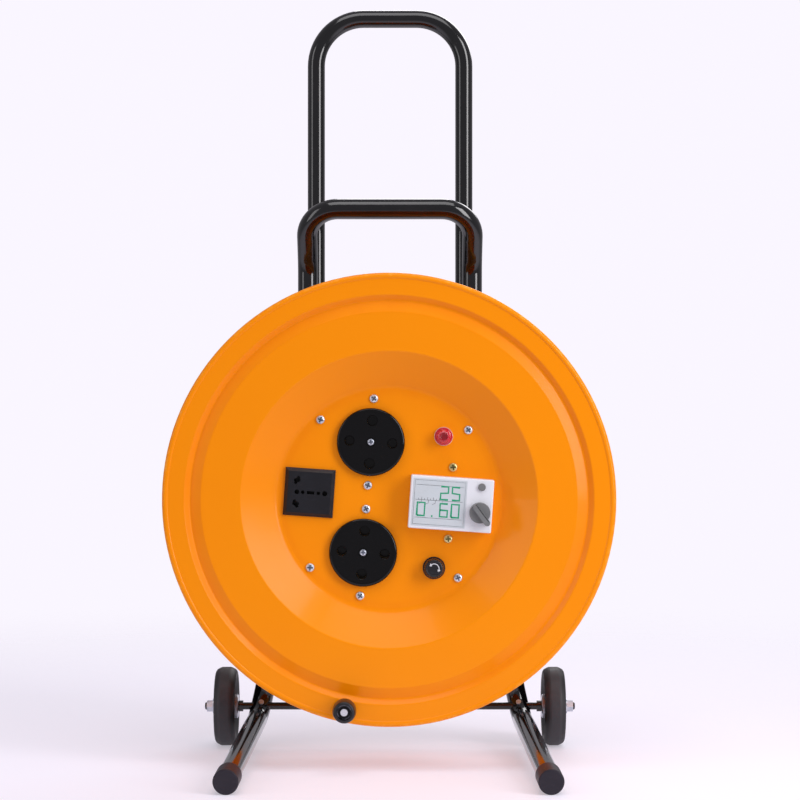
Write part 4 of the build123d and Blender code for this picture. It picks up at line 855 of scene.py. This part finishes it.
def frameWelds():
    # crossbars and guide blocks are welded to the uprights; each seam is a short run of bead
    s = weldSizes
    spots, edges = [], []

    def seam(x, y, low, high):
        edges.append((len(spots), len(spots) + 1))
        spots.extend((x * mm, y * mm, z * mm) for z in (low, high))

    for side in (-1, 1):
        for across in (-s["strapSide"], s["strapSide"]):
            seam(side * s["uprightX"] + across, s["strapY"], *s["strapHeights"])
        for foot in s["blockFeet"]:
            for across in (-s["blockSide"], s["blockSide"]):
                seam(side * s["blockX"] + across, s["blockY"], foot + s["inset"],
                     foot + s["blockTall"] - s["inset"])
    beads = grow("frameWelds", beadTree(), (spots, edges, []), finishes["frame_paint"], {})
    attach(beads, "frame")


frameWelds()
print("welds made")

# metres; air is the pale surroundings, seen brighter by the camera than by the pieces
studio = {"floor": linear(206, 202, 214), "warmFloor": linear(212, 207, 218), "air": linear(247, 243, 252),
          "floorReach": 4.0, "floorSides": 96, "fade": (0.45, 1.8), "clouds": (1.3, 2.0),
          "floorRoughness": 0.5, "floorSpecular": 0.15, "floorGlow": 0.40,
          "airForLight": 0.36, "airSeen": 1.03}
lightTint = (1.0, 0.985, 1.0)
lightBoxes = {
    "rightBox": {"at": (1.7, -1.3, 1.1), "aim": (0.0, 0.0, 0.35), "size": (0.8, 1.8), "power": 31.0},
    "leftBox": {"at": (-1.8, -1.0, 0.9), "aim": (0.0, 0.0, 0.4), "size": (0.6, 1.6), "power": 6.5},
    "topBox": {"at": (0.1, -0.7, 2.3), "aim": (0.0, 0.1, 0.3), "size": (1.8, 1.2), "power": 17.0},
    "backBox": {"at": (0.6, 2.0, 1.7), "aim": (0.0, 0.0, 0.3), "size": (1.6, 1.0), "power": 16.0},
}
eyeSizes = {"at": (0.011, -2.258, 0.377), "lens": 97.7, "sensor": 36.0, "farEnd": 50.0}


def floorSheet():
    # a round pale floor that thins out into the air around it, so every side can be looked at
    s = studio
    turns = [2 * math.pi * i / s["floorSides"] for i in range(s["floorSides"])]
    spots = [(s["floorReach"] * math.cos(turn), s["floorReach"] * math.sin(turn), 0.0) for turn in turns]
    mesh = bpy.data.meshes.new("floor")
    mesh.from_pydata(spots, [], [tuple(range(len(spots)))])
    sheet = bpy.data.objects.new("floor", mesh)
    bpy.context.scene.collection.objects.link(sheet)
    m = Finish("floorPaper")
    clouds = m.noise(m.at, *s["clouds"])
    away = m.fromAxis(m.x, m.y, 0.0, 0.0)
    m.put(colour=m.blend(clouds, s["floor"], s["warmFloor"]), roughness=s["floorRoughness"] + clouds * 0.1,
          specular=s["floorSpecular"], alpha=1 - m.step(away, *s["fade"]), glow=s["air"],
          glowStrength=s["floorGlow"])
    mesh.materials.append(m.material)


def softBox(name, at, aim, size, power):
    lamp = bpy.data.lights.new(name, "AREA")
    lamp.shape = "RECTANGLE"
    lamp.size, lamp.size_y = size
    lamp.energy = power
    lamp.color = lightTint
    box = bpy.data.objects.new(name, lamp)
    box.location = at
    box.rotation_euler = (Vector(aim) - Vector(at)).to_track_quat("-Z", "Y").to_euler()
    bpy.context.scene.collection.objects.link(box)


def studioLight():
    s = studio
    for name, box in lightBoxes.items():
        softBox(name, **box)
    world = bpy.data.worlds.new("studioAir")
    world.use_nodes = True
    net = Net(world.node_tree)
    seen = net.add("ShaderNodeLightPath", out="Is Camera Ray")
    strength = seen * (s["airSeen"] - s["airForLight"]) + s["airForLight"]
    air = world.node_tree.nodes["Background"]
    air.inputs["Color"].default_value = s["air"]
    world.node_tree.links.new(strength.socket, air.inputs["Strength"])
    bpy.context.scene.world = world


def camera():
    s = eyeSizes
    eye = bpy.data.cameras.new("eye")
    eye.lens = s["lens"]
    eye.sensor_width = s["sensor"]
    eye.clip_end = s["farEnd"]
    stand = bpy.data.objects.new("eye", eye)
    stand.location = s["at"]
    stand.rotation_euler = (math.radians(90), 0.0, 0.0)
    bpy.context.scene.collection.objects.link(stand)
    bpy.context.scene.camera = stand


floorSheet()
studioLight()
camera()
bpy.context.scene.view_settings.view_transform = "Standard"
print("studio set")
